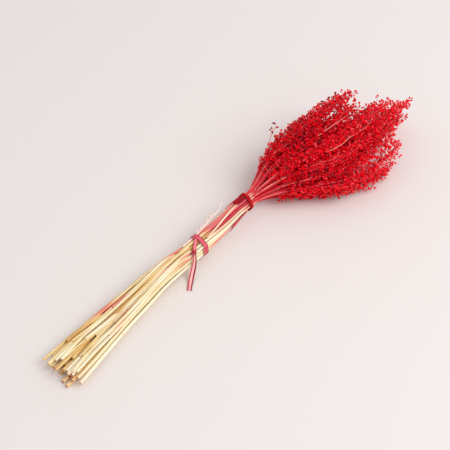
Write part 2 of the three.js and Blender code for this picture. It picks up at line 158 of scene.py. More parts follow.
def skin(rings, pointed=False):
    """Points and faces of closed skins over rings (pieces, stations, sides, 3). A pointed one narrows
    to the middle of its last ring."""
    pieces, stations, sides = rings.shape[:3]
    if pointed:
        tips = rings[:, -1].mean(axis=1, keepdims=True)
        points = np.concatenate((rings[:, :-1].reshape(pieces, -1, 3), tips), axis=1)
        stations -= 1
    else:
        points = rings.reshape(pieces, -1, 3)
    here = np.arange(sides)
    there = np.roll(here, -1)
    starts = sides * np.arange(stations - 1)[:, None]
    quads = np.stack((starts + here, starts + there, starts + there + sides, starts + here + sides), -1)
    first = (np.arange(pieces) * points.shape[1])[:, None, None]
    faces = [(first + quads.reshape(1, -1, 4)).reshape(-1, 4), (first + here[::-1]).reshape(-1, sides)]
    last = sides * (stations - 1)
    if pointed:
        fan = np.stack((last + here, last + there, np.full(sides, last + sides)), -1)
        faces.append((first + fan[None]).reshape(-1, 3))
    else:
        faces.append((first + last + here).reshape(-1, sides))
    return points.reshape(-1, 3), faces


# No point of the bunch goes lower than this above the table.
ON_TABLE = 0.12
SHARP_FROM = math.radians(50)
# The tint or dye of a part whose material doesn't read it.
UNREAD = 0.5


def add_piece(name, parts, materials):
    """One object from parts (points, faces, tint, dye, material's place). Tint and dye are numbers that
    the material reads at each point."""
    points = np.concatenate([part[0] for part in parts]) / MM_PER_M
    points[:, 2] = np.maximum(points[:, 2], ON_TABLE / MM_PER_M)
    tint, dye = (
        np.concatenate([np.broadcast_to(part[i], len(part[0])) for part in parts])
        for i in (2, 3))
    corners, sizes, which = [], [], []
    first = 0
    for part in parts:
        for faces in part[1]:
            corners.append((faces + first).ravel())
            sizes.append(np.full(len(faces), faces.shape[1]))
            which.append(np.full(len(faces), part[4]))
        first += len(part[0])
    corners, sizes, which = (np.concatenate(group) for group in (corners, sizes, which))
    mesh = bpy.data.meshes.new(name)
    mesh.vertices.add(len(points))
    mesh.vertices.foreach_set("co", points.ravel())
    mesh.loops.add(len(corners))
    mesh.loops.foreach_set("vertex_index", corners.astype(np.int32))
    mesh.polygons.add(len(sizes))
    mesh.polygons.foreach_set("loop_start", (np.cumsum(sizes) - sizes).astype(np.int32))
    mesh.polygons.foreach_set("material_index", which.astype(np.int32))
    mesh.update(calc_edges=True)
    mesh.validate()
    mesh.shade_smooth()
    mesh.set_sharp_from_angle(angle=SHARP_FROM)
    for key, values in (("tint", tint), ("dye", dye)):
        mesh.attributes.new(key, "FLOAT", "POINT").data.foreach_set("value", values.astype(np.float32))
    for material in materials:
        mesh.materials.append(material)
    piece = bpy.data.objects.new(name, mesh)
    bpy.context.collection.objects.link(piece)
    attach(piece, "root")
    return piece


def srgb(code):
    """A colour from its hex code, in linear light."""
    parts = [int(code[i:i + 2], 16) / 255 for i in (1, 3, 5)]
    return [p / 12.92 if p <= 0.04045 else ((p + 0.055) / 1.055) ** 2.4 for p in parts] + [1]


def node(tree, kind, out, settings=None, stops=(), **inputs):
    """Adds a shader node with its settings and colour stops, sets or links its inputs, and gives one of
    its outputs."""
    made = tree.nodes.new("ShaderNode" + kind)
    for key, value in (settings or {}).items():
        setattr(made, key, value)
    if stops:
        points = made.color_ramp.elements
        while len(points) < len(stops):
            points.new(0.5)
        for point, (where, code) in zip(points, stops):
            point.position = where
            point.color = srgb(code)
    for key, value in inputs.items():
        socket = next(s for s in made.inputs if s.identifier == key)
        if isinstance(value, bpy.types.NodeSocket):
            tree.links.new(value, socket)
        else:
            socket.default_value = value
    return next(s for s in made.outputs if s.identifier == out)


def new_material(name):
    """A material with its principled shader, and a function that reads one of the mesh's numbers."""
    material = bpy.data.materials.new(name)
    material.use_nodes = True
    tree = material.node_tree
    shader = tree.nodes["Principled BSDF"]
    return material, tree, shader, lambda key: node(tree, "Attribute", "Fac", {"attribute_name": key})


def streaks(tree, along_mm, across_mm, detail=3):
    """Noise drawn out along X, the way that fibres run in a stalk. Its two sizes are in millimetres."""
    scale = (MM_PER_M / along_mm, MM_PER_M / across_mm, MM_PER_M / across_mm)
    stretch = node(tree, "Mapping", "Vector", Vector=node(tree, "TexCoord", "Object"), Scale=scale)
    return node(tree, "TexNoise", "Fac", Vector=stretch, Scale=1.0, Detail=detail)


def dress(tree, shader, colour, gloss, relief=None, strength=0, depth=0.3):
    """Gives the shader its colour and gloss, and a relief whose depth is in millimetres."""
    tree.links.new(colour, shader.inputs["Base Color"])
    for key, value in gloss.items():
        shader.inputs[key].default_value = value
    if relief is not None:
        bump = node(tree, "Bump", "Normal", Strength=strength, Distance=depth / MM_PER_M, Height=relief)
        tree.links.new(bump, shader.inputs["Normal"])


# A colour laid over another, and one that darkens another as a stain does.
LAYER = {"data_type": "RGBA"}
STAIN = {"data_type": "RGBA", "blend_type": "MULTIPLY"}


def marked(tree, colour, pattern, stops, mark, how=LAYER):
    """The colour with a mark's colour over it, as strong as the stops say along the pattern."""
    strength = node(tree, "ValToRGB", "Color", Fac=pattern, stops=stops)
    return node(tree, "Mix", "Result_Color", how, Factor_Float=strength, A_Color=colour, B_Color=mark)


def straw_material():
    """Dried straw: a waxy, ribbed stalk with a soft gloss. Its fibres are drawn 0.5 mm apart, coarser than
    real ones, so that they show. It has browner patches, and the red of the dye bath that crept down."""
    material, tree, shader, number = new_material("dried_straw")
    fibres = streaks(tree, along_mm=30, across_mm=0.5)
    patches = streaks(tree, along_mm=22, across_mm=5, detail=2)
    pale = node(tree, "ValToRGB", "Color", Fac=number("tint"), stops=[
        (0, "#c88a42"), (0.34, "#ecc37b"), (0.68, "#fae4a9"), (1, "#fff6d8")])
    tan = node(tree, "Mix", "Result_Color", LAYER,
               Factor_Float=0.55, A_Color=pale, B_Color=srgb("#c98f4c"))
    worn = marked(tree, pale, patches, [(0.52, "#000000"), (0.75, "#909090")], tan)
    ribbed = marked(tree, worn, fibres, [(0.35, "#707070"), (0.62, "#000000")], srgb("#d2a465"), STAIN)
    dyed = node(tree, "ValToRGB", "Color", Fac=number("dye"), stops=[
        (0.03, "#fbe3bd"), (0.25, "#f8b49c"), (0.5, "#f07078"), (0.75, "#d62c42"), (1, "#8c0c19")])
    thin = node(tree, "Mix", "Result_Color", STAIN, Factor_Float=0.5, A_Color=dyed, B_Color=ribbed)
    flushed = marked(tree, ribbed, number("dye"), [(0.02, "#000000"), (0.3, "#ffffff")], thin)
    soaked = marked(tree, flushed, number("dye"), [(0.3, "#000000"), (0.6, "#ffffff")], dyed)
    dress(tree, shader, soaked, {"Roughness": 0.34, "IOR": 1.47}, fibres, strength=0.35)
    return material


STRAW = straw_material()

# To the camera, a millimetre of height looks like these shares of one, along the bunch and across it.
VIEW_ALONG = 0.728
VIEW_ACROSS = 0.686


def shown(k, s):
    """Where stalk k stands at s as the camera sees it: from 1 at the upper left edge to -1 at the right."""
    points = place(s, ACROSS, UP)
    seen = points[:, 1] + VIEW_ACROSS * points[:, 2]
    low, high = seen.min(), seen.max()
    return 2 * (seen[k] - low) / (high - low) - 1


SLEEVE_ROWS = 12
SLEEVE_COLUMNS = 15
SLEEVE_THICK = 0.25
SLEEVE_OFF = 0.12
SLEEVE_LIFTS = (0.2, 0.7)
SLEEVE_RIPPLE = 0.08
SLEEVE_RIPPLES = 17
SLEEVE_TORN = 5
SLEEVE_TATTERS = 6
SLEEVE_TURNED = (0.5, 2.2)
SLEEVE_WRAPS = (4.2, 5.8)
SLEEVE_TINTS = (0.55, 0.98)
SLEEVE_STRIPE = 0.15
SLEEVE_STRIPES = 9
TORN_END_DYES = (0.0, 0.0, 0.12, 0.3)
GROWN_END_DYES = (0, 0, 0.2)


def sleeve(path, radius, start, end, rng):
    """A dry leaf sheath round a stalk, from where it is torn off to where it grew from the stalk. It is
    split along one side and stands off a little at its torn end."""
    down = np.linspace(0, 1, SLEEVE_ROWS)
    t, turn = np.meshgrid(down, np.linspace(0, 1, SLEEVE_COLUMNS), indexing="ij")
    tatters = rng.uniform(0, SLEEVE_TORN, SLEEVE_TATTERS)
    torn = np.interp(turn[0], np.linspace(0, 1, SLEEVE_TATTERS), tatters)
    s = start + t * (end - start) + (1 - t) ** 3 * torn
    angle = rng.uniform(*SLEEVE_TURNED) + turn * rng.uniform(*SLEEVE_WRAPS)
    middle = np.stack([np.interp(s, path[:, 0], path[:, i]) for i in (0, 1, 2)], axis=-1)
    thick = np.interp(s, path[:, 0], radius)
    loose = SLEEVE_OFF + rng.uniform(*SLEEVE_LIFTS) * (1 - t) ** 2
    loose = loose + SLEEVE_RIPPLE * np.sin(SLEEVE_RIPPLES * turn)
    out = np.stack((0 * angle, np.cos(angle), np.sin(angle)), axis=-1)
    inner = middle + (thick + loose)[..., None] * out
    outer = middle + (thick + loose + SLEEVE_THICK)[..., None] * out
    points, faces = skin(np.concatenate((inner, outer[:, ::-1]), axis=1)[None])
    stripes = rng.uniform(-SLEEVE_STRIPE, SLEEVE_STRIPE, SLEEVE_STRIPES)
    stripe = np.interp(turn, np.linspace(0, 1, SLEEVE_STRIPES), stripes)
    tint = np.clip(rng.uniform(*SLEEVE_TINTS) + stripe, 0, 1)
    stain = rng.choice(TORN_END_DYES) * (1 - t) + rng.choice(GROWN_END_DYES) * t ** 3
    tint, stain = (np.concatenate((grid, grid[:, ::-1]), axis=1).ravel() for grid in (tint, stain))
    return points, faces, tint, stain, 0


def top_of(s, y):
    """How high the bunch's upper side stands at each s and y."""
    middles = place(s[:, None], ACROSS, UP)
    radii = along(LAYOUT, RADIUS, s)[:, None]
    fall = (y[:, None] - middles[..., 1]) ** 2 / (4 * radii)
    return np.max(middles[..., 2] + radii - fall, axis=1)


# Each loose stem: the stalk it grew on, where it starts and ends, its side at both, its radius, its dye
# and its paleness.
LOOSE_STEMS = (
    (9, -2, 186, 1.08, 0.95, 1.3, 0.34, 0.5),
    (10, 18, 176, 1.12, 1.05, 1.0, 0.45, 0.6),
    (10, 52, 118, 1.16, 1.0, 1.0, 0.6, 0.6),
    (14, 34, 184, 0.86, 1.0, 1.1, 0.3, 0.7),
    (15, 4, 170, 0.5, 0.85, 1.5, 0.0, 0.9),
    (15, 26, 74, 0.92, 0.72, 1.6, 0.1, 0.25),
    (16, 28, 184, 0.62, 0.3, 1.3, 0.08, 0.6),
    (16, 8, 52, 0.3, 0.52, 1.9, 0.0, 0.85),
    (17, -3, 180, 0.1, 0.5, 1.4, 0.0, 0.35),
    (17, 38, 96, 0.15, -0.1, 1.7, 0.0, 0.95),
    (18, 12, 150, 0.25, -0.15, 1.1, 0.0, 0.75),
    (18, 16, 44, -0.1, 0.12, 1.8, 0.05, 0.3),
    (19, 48, 186, -0.1, 0.35, 1.2, 0.12, 0.8),
    (19, 24, 80, -0.35, -0.1, 1.5, 0.0, 0.5),
    (20, 2, 184, -0.45, -0.1, 1.4, 0.0, 0.9),
    (20, 70, 128, -0.5, -0.32, 1.3, 0.2, 0.3),
    (21, 22, 182, -0.3, -0.62, 1.1, 0.16, 0.7),
    (21, 6, 40, -0.62, -0.42, 1.7, 0.0, 0.8),
    (22, 9, 178, -0.75, -0.4, 1.3, 0.05, 1.0),
    (22, 204, 268, -0.5, 0.15, 1.0, 0.14, 1.0),
    (23, 56, 184, -0.62, -0.9, 1.0, 0.3, 0.7),
    (23, 110, 186, 0.0, -0.5, 1.0, 0.42, 0.8),
)
LOOSE_STEP = 4.0
LOOSE_SIDES = 8
LOOSE_TAPER = 0.12
HALF_WIDTH = 2.4
EDGE_FROM = 0.7
EDGE_BY = 0.2
STEM_WAVE = 0.5
STEM_WAVE_LONG = 19
EASED_OVER = 11
TUCKED_DEEP = 2.6
TUCKED_OVER = 22
ABOVE_TABLE = 0.1
STEM_MOTTLE = 0.1
STEM_MOTTLE_LONG = 7
STEM_DYE_UNEVEN = 0.05
STEM_DYE_LONG = 9
STEM_STAINED_AT = 76
STEM_STAIN_LONG = 17
STEM_DYED_FROM = 120
STEM_DYED_OVER = 50
STEM_DYED_LEAST = 0.15
# A wave or a spiral starts at an angle in this range, in radians.
ANY_START = (0, 6)


def loose_stem(start, end, from_side, to_side, radius, dye, paleness, rng):
    """A thin side stem that lies on the others and crosses them, from its broken end to under the tie. Its
    two sides are shares of the bunch's half width, from 1 at the upper left to -1 at the right."""
    s = np.arange(start, end, LOOSE_STEP)
    t = (s - start) / (end - start)
    ends = np.array((start, end), float)
    sides = HALF_WIDTH * along(LAYOUT, SPACING_Y, ends) * (from_side, to_side)
    from_y, to_y = place(ends, 0, 0)[:, 1] + sides
    half = HALF_WIDTH * along(LAYOUT, SPACING_Y, s)
    curved = place(s, 0, 0)[:, 1] + half * between(from_side, to_side, t)
    straight = between(from_y, to_y, t)
    at_edge = np.clip((abs(from_side) - EDGE_FROM) / EDGE_BY, 0, 1)
    y = curved * at_edge + straight * (1 - at_edge) + STEM_WAVE * np.sin(s / STEM_WAVE_LONG)
    padded = np.pad(top_of(s, y) + radius, EASED_OVER // 2, mode="edge")
    z = np.convolve(padded, np.ones(EASED_OVER) / EASED_OVER, mode="valid")
    tucked = TUCKED_DEEP * radius * ramped(s, end - TUCKED_OVER, end)
    path = np.stack((s + TO_ROW[0], y, np.maximum(z - tucked, radius + ABOVE_TABLE)), axis=1)
    thick = radius * (1 - LOOSE_TAPER * t)
    points, faces = skin(rings_along(path[None], thick[None], LOOSE_SIDES))
    tint = np.clip(paleness + STEM_MOTTLE * np.sin(s / STEM_MOTTLE_LONG), 0, 1)
    stained = np.exp(-((s - STEM_STAINED_AT) / STEM_STAIN_LONG) ** 2)
    to_neck = np.clip((s - STEM_DYED_FROM) / STEM_DYED_OVER, STEM_DYED_LEAST, 1)
    uneven = STEM_DYE_UNEVEN * np.sin(s / STEM_DYE_LONG + rng.uniform(*ANY_START))
    fade = dye * np.maximum(stained, to_neck) + uneven
    return points, faces, np.repeat(tint, LOOSE_SIDES), np.repeat(np.clip(fade, 0, 1), LOOSE_SIDES), 0


# Pieces that lie against each other are this far apart.
GAP = 0.3
STRAW_SEED = 100
STRAW_SIDES = 12
STRAW_STEP = 5
STRAW_SHORTEST = 12
STRAW_LONGEST = -4
STRAW_THINNEST = 0.86
STRAW_IN_CAD = 0.95
# A stalk's two joints, like a bamboo's: where each may be, the rings that draw it, and its swelling.
JOINTS_FROM = (20, 120)
JOINTS_TO = (110, 190)
JOINT_RINGS = np.array([-1.2, -0.5, 0.2, 0.9])
JOINT_SWELLS = 0.16
JOINT_LONG = 0.7
# Towards their cut ends the stalks wander a little, sideways and up.
LOOSE_FROM = 30
LOOSE_TO = 150
LOOSE_LATE = 1.5
WOBBLE = 0.45
WOBBLE_ACROSS = 2.4 * WOBBLE
WOBBLE_LONG = (26, 31)
CUT_SLANTS = 1.2
RIM_INSIDE = 0.62
HOLLOW_NARROWS = 0.2
HOLLOW_DEEP = (1.5, 0, 0)
SLEEVED = 0.62
SLEEVE_LONG = (22, 60)
SLEEVE_FROM_CUT = 6
# How pale a stalk is: painted light and shade by its place as the camera sees it, and a random tone.
SHADE_SEEN_AT = 60
SHADE_USUAL = 0.62
PAINTED_LIGHT_ON_STRAW = 0.28
SHADE_VARIES = 0.32
SHADE_DARKEST = 0.05
# The hollow of a cut end and its rim are painted darker than the stalk, as shade in the hollow.
HOLLOW_PAINTED_SHADE = (0, 0.3)


def straw(k, across, up):
    """One stalk: its joints, its hollow cut end, its torn leaf sheaths and the loose stems beside it."""
    rng = np.random.default_rng(STRAW_SEED + k)
    thickness = 1 if up == BOTTOM_ROW else between(STRAW_THINNEST, 1, chance(k, 1))
    cut = between(STRAW_LONGEST, STRAW_SHORTEST, chance(k, 2))
    end = NECK_TIE - GAP / 2
    s = np.linspace(cut, end, round((end - cut) / STRAW_STEP) + 1)
    joints = rng.uniform(JOINTS_FROM, JOINTS_TO)
    s = np.sort(np.concatenate([s] + [joint + JOINT_RINGS for joint in joints]))
    path = place(s, across, up)
    loose = np.clip((LOOSE_TO - s) / (LOOSE_TO - LOOSE_FROM), 0, 1) ** LOOSE_LATE
    phase = rng.uniform(0, 2 * np.pi, 2)
    path[:, 1] += WOBBLE_ACROSS * loose * np.sin(s / WOBBLE_LONG[0] + phase[0])
    path[:, 2] += WOBBLE * loose * (1 + np.sin(s / WOBBLE_LONG[1] + phase[1]))
    swell = np.exp(-((s[:, None] - joints) / JOINT_LONG) ** 2).sum(axis=1)
    radius = STRAW_IN_CAD * thickness * along(LAYOUT, RADIUS, s) * (1 + JOINT_SWELLS * swell)
    rings = rings_along(path[None], radius[None], STRAW_SIDES)[0]
    slant = CUT_SLANTS * (chance(k, 3) - 0.5)
    rings[0, :, 0] += slant * np.cos(2 * np.pi * np.arange(STRAW_SIDES) / STRAW_SIDES)
    middle = rings[0].mean(axis=0)
    rim = middle + RIM_INSIDE * (rings[0] - middle)
    hollow = rim + HOLLOW_NARROWS * (middle - rim) + HOLLOW_DEEP
    points, faces = skin(np.concatenate((hollow[None], rim[None], rings))[None])

    side = shown(k, SHADE_SEEN_AT)
    # Painted light and shade: paler towards the lit right edge, darker towards the shaded upper left.
    shade = SHADE_USUAL - PAINTED_LIGHT_ON_STRAW * side + rng.normal(scale=SHADE_VARIES)
    # The hollow and its rim take painted shade.
    tint = np.concatenate((HOLLOW_PAINTED_SHADE, np.full(len(s), np.clip(shade, SHADE_DARKEST, 1))))
    dye = straw_dye(k, s, cut, swell, side, rng)
    parts = [(points, faces, np.repeat(tint, STRAW_SIDES), dye.ravel(), 0)]
    for joint in joints:
        if rng.random() < SLEEVED:
            reach = rng.uniform(*SLEEVE_LONG)
            parts.append(sleeve(path, radius, max(joint - reach, cut + SLEEVE_FROM_CUT), joint, rng))
    parts.extend(loose_stem(*row[1:], rng) for row in LOOSE_STEMS if row[0] == k)
    piece = add_piece(f"straw_stalk_{k + 1:02d}", parts, [STRAW])
    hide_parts(f"straw_{k + 1:02d}")


# The dye crept down from the neck, deeper on some sides of the bunch than on others.
DYE_SEEN_AT = 240
DYE_ACROSS = (-1, -0.75, -0.45, -0.2, 0.05, 0.3, 0.6, 1)
DYE_DEPTH = (0.4, 0.05, 0.03, 0.3, 0.8, 0.62, 0.45, 0.36)
DYE_DEPTH_VARIES = 0.08
DYE_FROM = (188, 214)
DYE_FROM_EARLIER = 18
DYE_OVER = (14, 30)
DYE_EARLIER_BY = 1.4
DYED_AT_NECK = 258
DYED_BY_NECK = 268
NECK_DYE = 0.35
NECK_DYE_FOLLOWS = 0.6
# Dye gathers in the joints, and in a stain on the stalks towards the left edge and on a few others.
JOINT_DYES = (0.12, 0.3, 0.85)
JOINT_DYE_SHARP = 1.3
JOINT_DYE_CUT = 0.25
STAINS_AT = (45, 130)
EDGE_STAINS_AT = (58, 98)
STAIN_LONG = (9, 22)
STAIN_DYES = (0.15, 0.45)
ODD_STAINS = 0.25
ODD_STAIN_DYE = 0.3
EDGE_STAIN_DYE = 0.4
EDGE_SHARP = 2.5
EDGE_CUT = 1.3
# Dye that wicked into the wet cut ends at the right, and crimson lines along some stalks.
WET_CUTS_BELOW = -0.15
FLUSH = 0.13
FLUSH_LONG = 26
HOLLOW_DYES = (0.3, 0.95)
RIM_DYES = (0.1, 0.5)
WET_CUT_DYES = ([1.0], [0.9])
LINED = 0.5
LINES_FROM = (20, 130)
LINES_LONG = (25, 75)
LINE_SIDES = (0, 4)
LINE_DYE = 0.72


def straw_dye(k, s, cut, swell, side, rng):
    """How strongly stalk k is dyed, for each point of each of its rings."""
    near_neck = shown(k, DYE_SEEN_AT)
    deepest = np.interp(near_neck, DYE_ACROSS, DYE_DEPTH) + rng.normal(scale=DYE_DEPTH_VARIES)
    earlier = DYE_FROM_EARLIER * np.clip(DYE_EARLIER_BY * near_neck, 0, 1)
    starts_at = rng.uniform(*DYE_FROM) - earlier
    dye = np.clip((s - starts_at) / rng.uniform(*DYE_OVER), 0, 1) * deepest
    at_neck = ramped(s, DYED_AT_NECK, DYED_BY_NECK)
    dye = np.maximum(dye, at_neck * (NECK_DYE + NECK_DYE_FOLLOWS * deepest))
    at_joint = np.clip(JOINT_DYE_SHARP * swell - JOINT_DYE_CUT, 0, 1)
    dye = np.maximum(dye, at_joint * rng.choice(JOINT_DYES))
    at_edge = np.clip(EDGE_SHARP * side - EDGE_CUT, 0, 1)
    stain_at = rng.uniform(*STAINS_AT) * (1 - at_edge) + rng.uniform(*EDGE_STAINS_AT) * at_edge
    strength = np.clip(side, 0, 1) * rng.uniform(*STAIN_DYES)
    strength += (rng.random() < ODD_STAINS) * ODD_STAIN_DYE + EDGE_STAIN_DYE * at_edge
    dye = np.maximum(dye, strength * np.exp(-((s - stain_at) / rng.uniform(*STAIN_LONG)) ** 2))
    wet_cut = shown(k, 0) < WET_CUTS_BELOW
    inside = rng.choice(HOLLOW_DYES, size=1), rng.choice(RIM_DYES, size=1)
    inside = WET_CUT_DYES if wet_cut else inside
    dye = np.maximum(dye, wet_cut * FLUSH * np.clip(1 - (s - cut) / FLUSH_LONG, 0, 1))
    dye = np.repeat(np.concatenate((*inside, dye)), STRAW_SIDES).reshape(-1, STRAW_SIDES)
    if chance(k, 21) < LINED:
        begins = between(*LINES_FROM, chance(k, 22))
        on_line = (s > begins) & (s < begins + between(*LINES_LONG, chance(k, 23)))
        line_side = LINE_SIDES[int(len(LINE_SIDES) * chance(k, 24))]
        dye[len(inside):][on_line, line_side] = LINE_DYE
    return dye


for k, (across, up) in enumerate(SITES):
    straw(k, across, up)

# The seed heads: the dyed top of each stalk, a loose panicle whose branches leave the stalk in a spiral
# and carry the grains on fine pedicels. Dyed by dipping, so they are a strong crimson all through.
GRAIN_SPECKS_PER_MM = 0.9


def grain_material():
    """Millet in its husk, dyed: hard and smooth, so each grain has a small soft highlight. The red goes
    from maroon to scarlet from grain to grain, with painted highlights over it in pale pink specks about a
    millimetre apart."""
    material, tree, shader, number = new_material("dyed_millet_grain")
    # The ramp's pale pink top is the painted highlight of the grains set to full tint.
    colour = node(tree, "ValToRGB", "Color", Fac=number("tint"), stops=[
        (0, "#94001a"), (0.2, "#c80018"), (0.42, "#fa0018"), (0.78, "#ff0222"), (1, "#ff5860")])
    specks = node(tree, "TexNoise", "Fac", Vector=node(tree, "TexCoord", "Object"),
                  Scale=MM_PER_M * GRAIN_SPECKS_PER_MM, Detail=2.0)
    # Painted highlights: pale pink specks laid over the red, which also give a slight relief.
    highlight_specks = marked(tree, colour, specks, [(0.6, "#000000"), (0.85, "#181818")], srgb("#ff5a60"))
    gloss = {"Roughness": 0.2, "IOR": 1.48, "Specular IOR Level": 0.15}
    dress(tree, shader, highlight_specks, gloss, specks, strength=0.25)
    return material


def stalk_material():
    """A dyed green stem: the dye is thin on its waxy skin, so it stays between peach, pink and crimson."""
    material, tree, shader, number = new_material("dyed_millet_stem")
    fibres = streaks(tree, along_mm=25, across_mm=0.5)
    colour = node(tree, "ValToRGB", "Color", Fac=number("dye"), stops=[
        (0, "#fed8be"), (0.25, "#fba092"), (0.5, "#f85660"), (0.75, "#e4142a"), (1, "#ac0416")])
    ribbed = marked(tree, colour, fibres, [(0.4, "#555555"), (0.65, "#000000")], srgb("#c01020"))
    gloss = {"Roughness": 0.4, "IOR": 1.47, "Specular IOR Level": 0.35}
    dress(tree, shader, ribbed, gloss, fibres, strength=0.3)
    return material


GRAIN = grain_material()
STALK = stalk_material()
ON_GRAIN, ON_STALK = 0, 1

# A grain lies along +Z from 0 to 1. It is nearly round in section, fullest below its middle and pointed
# at its tip.
GRAIN_LENGTH = 2.9
GRAIN_WIDTH = 2.6
GRAIN_FLATTER = 0.86
GRAIN_SIDES = 5
GRAIN_RINGS = ((0.16, 0.3), (0.46, 0.5), (0.8, 0.28))
GRAIN_POINTS = np.array(
    [(0, 0, 0)]
    + [(r * math.cos(a), GRAIN_FLATTER * r * math.sin(a), z)
       for z, r in GRAIN_RINGS for a in 2 * np.pi * np.arange(GRAIN_SIDES) / GRAIN_SIDES]
    + [(0, 0, 1)]
)


def grain_faces():
    """The faces of one grain: a fan at each end and bands of quads between its rings."""
    here = np.arange(GRAIN_SIDES)
    there = np.roll(here, -1)
    last = len(GRAIN_POINTS) - 1
    top = last - GRAIN_SIDES
    root_fan = np.stack((there + 1, here + 1, 0 * here), -1)
    tip_fan = np.stack((top + here, top + there, 0 * here + last), -1)
    bands = [
        np.stack((here, there, there + GRAIN_SIDES, here + GRAIN_SIDES), -1) + 1 + GRAIN_SIDES * i
        for i in range(len(GRAIN_RINGS) - 1)
    ]
    return [np.concatenate((root_fan, tip_fan)), np.concatenate(bands)]


GRAIN_FACES = grain_faces()


def any_side(ahead, rng):
    """For each direction, a random one at a right angle to it."""
    return unit(np.cross(ahead, rng.normal(size=ahead.shape)))


def grains(roots, directions, sizes, rng):
    """Grains that start at the roots and point in the directions."""
    axis = unit(directions)
    side = any_side(axis, rng)
    up = np.cross(axis, side)
    size = sizes[:, None, None]
    local = GRAIN_POINTS[None]
    points = roots[:, None] + size * (
        GRAIN_WIDTH * (local[..., 0:1] * side[:, None] + local[..., 1:2] * up[:, None])
        + GRAIN_LENGTH * local[..., 2:3] * axis[:, None])
    first = (np.arange(len(roots)) * len(GRAIN_POINTS))[:, None, None]
    return points.reshape(-1, 3), [(first + f[None]).reshape(-1, f.shape[1]) for f in GRAIN_FACES]


# How far the heads reach, by their place across the bunch as the camera sees it.
TIP_OUTLINE = np.array([
    (-78, 440), (-64, 478), (-50, 500), (-36, 500), (-20, 542), (-2, 526), (15, 493), (24, 489), (42, 509),
    (68, 482),
])
TIP_FURTHEST = 516
TIP_VARIES = 12
TIP_GUESS = 460
TIP_ROUNDS = 3
# The heads whose tips stand elsewhere: how far they reach, and how they lean across and droop.
DROOP_FROM = 330
DROOPS = {
    9: (369, -6, 1),
    15: (446, -14, -9),
    16: (490, 5, 3),
    20: (465, 1, -1),
    21: (463, -3, -1),
}


def tip_of(k, across, up):
    """The distance that the tip of head k reaches, as in the CAD."""
    if k in DROOPS:
        return DROOPS[k][0]
    tip = TIP_GUESS
    for _ in range(TIP_ROUNDS):
        p = place(tip, across, up) - TO_ROW
        seems = along(TIP_OUTLINE, 1, p[1] + VIEW_ACROSS * p[2])
        tip = min(TIP_FURTHEST, seems - VIEW_ALONG * p[2])
    return tip + TIP_VARIES * (chance(k, 4) - 0.5)


def drooped(points, k, tip):
    """The points of head k, moved as the head droops."""
    if k not in DROOPS:
        return points
    share = smooth(ramped(points[..., 0] - TO_ROW[0], DROOP_FROM, tip))
    return points + share[..., None] * (0, *DROOPS[k][1:])


def settled(heights, level):
    """The heights, with all that would lie lower than the level pressed together above the table."""
    return np.where(heights < level, level * np.exp(heights / level - 1), heights)


def by_ring(values, sides):
    """A number for each point of a pointed skin, from one for each ring."""
    return np.append(np.repeat(values[:-1], sides), values[-1])


STEM_SIDES = 8
STEM_STEP = 5.0
STEM_SHORT_OF_TIP = 6
STEM_AT_NECK = 0.95
STEM_THINS = 0.5
STEM_THIN_BY = 350
STEM_TAPERS_OVER = 60
STEM_THINNEST = 0.35
STEM_DYES = (0.1, 0.3, 0.5, 0.68, 0.85)
STEM_DYE_SHARES = (0.14, 0.18, 0.24, 0.28, 0.16)
STEM_DEEPENS = 0.55
STEM_DEEPENS_OVER = 40
STEM_DEEPEST = 0.95


def head_stem(k, site, tip, first, rng):
    """The stalk up the middle of head k: its path, and its part of the piece."""
    s = np.arange(NECK_TIE + GAP / 2, tip - STEM_SHORT_OF_TIP, STEM_STEP)
    path = drooped(place(s, *site), k, tip)
    thin = STEM_AT_NECK - STEM_THINS * ramped(s, NECK_TIE, STEM_THIN_BY) ** 0.5
    taper = np.clip((tip - s) / STEM_TAPERS_OVER, STEM_THINNEST, 1)
    radius = along(LAYOUT, RADIUS, s) * thin * taper
    points, faces = skin(rings_along(path[None], radius[None], STEM_SIDES), pointed=True)
    colour = rng.choice(STEM_DYES, p=STEM_DYE_SHARES)
    dye = np.clip(colour + STEM_DEEPENS * ramped(s, first, first + STEM_DEEPENS_OVER), 0, STEM_DEEPEST)
    return path, (points, faces, UNREAD, by_ring(dye, STEM_SIDES), ON_STALK)


# A plume keeps to its own cell among the others, whose half width is this many spacings.
CELL = 0.482
GOLDEN_ANGLE = math.radians(137.5)
BRANCHES_APART = 7.0
BRANCHES_AFTER_TIE = 5
BRANCHES_LEAST = 10
BRANCH_LONGEST = 66
BRANCH_SHORTEST = 26
BRANCH_LONG_VARIES = (0.8, 1.1)
FIRST_BRANCHES_LONGER = 24
BRANCH_SHARE_OF_ROOM = 0.62
BRANCH_STATIONS = 9
BRANCH_BARE = (0.16, 0.62)
BRANCH_STARTS_VARY = 0.3
BRANCH_BARE_VARIES = 8
BRANCH_SPREADS = (0.3, 1)
BRANCH_ARCH = 0.9
BRANCH_TURNS = 0.5
BRANCH_SIDES = 4
BRANCH_SPREAD_BY = 0.7
BRANCH_WANDERS = 1.8
BRANCH_ABOVE_TABLE = 3.0
BRANCH_RADIUS = 0.42
BRANCH_THINS = 0.2
BRANCH_DYE = (0.8, 0.16)
BRANCH_DYE_ENDS = (0.3, 0.98)
GRAINS_PAST_TIP = 6
PLUME_TAPER = 0.35
NARROWEST = 0.4
NARROW_FROM = 296
NARROW_OVER = 85
# Some plumes at the right are slimmer than the rest, and two of them are denser.
SLIM_PLUMES = {10: 0.85, 11: 0.85, 15: 0.8, 17: 0.8, 20: 0.8, 21: 0.85, 22: 0.75}
DENSE_PLUMES = (15, 20)
# A few branches stray past their plume's edge.
STRAYS = 0.07
STRAYS_BEFORE = 0.9
STRAY_SPREADS = (1.0, 1.25)
# One small sprig stands out at the left edge: the head and branch it is, its start and length, how far
# it stands off in spacings, its direction, and the share of it that is bare.
SPRIG_HEAD = 8
SPRIG = 3
SPRIG_SHAPE = (308, 44, 1.25, 0, 0.75)


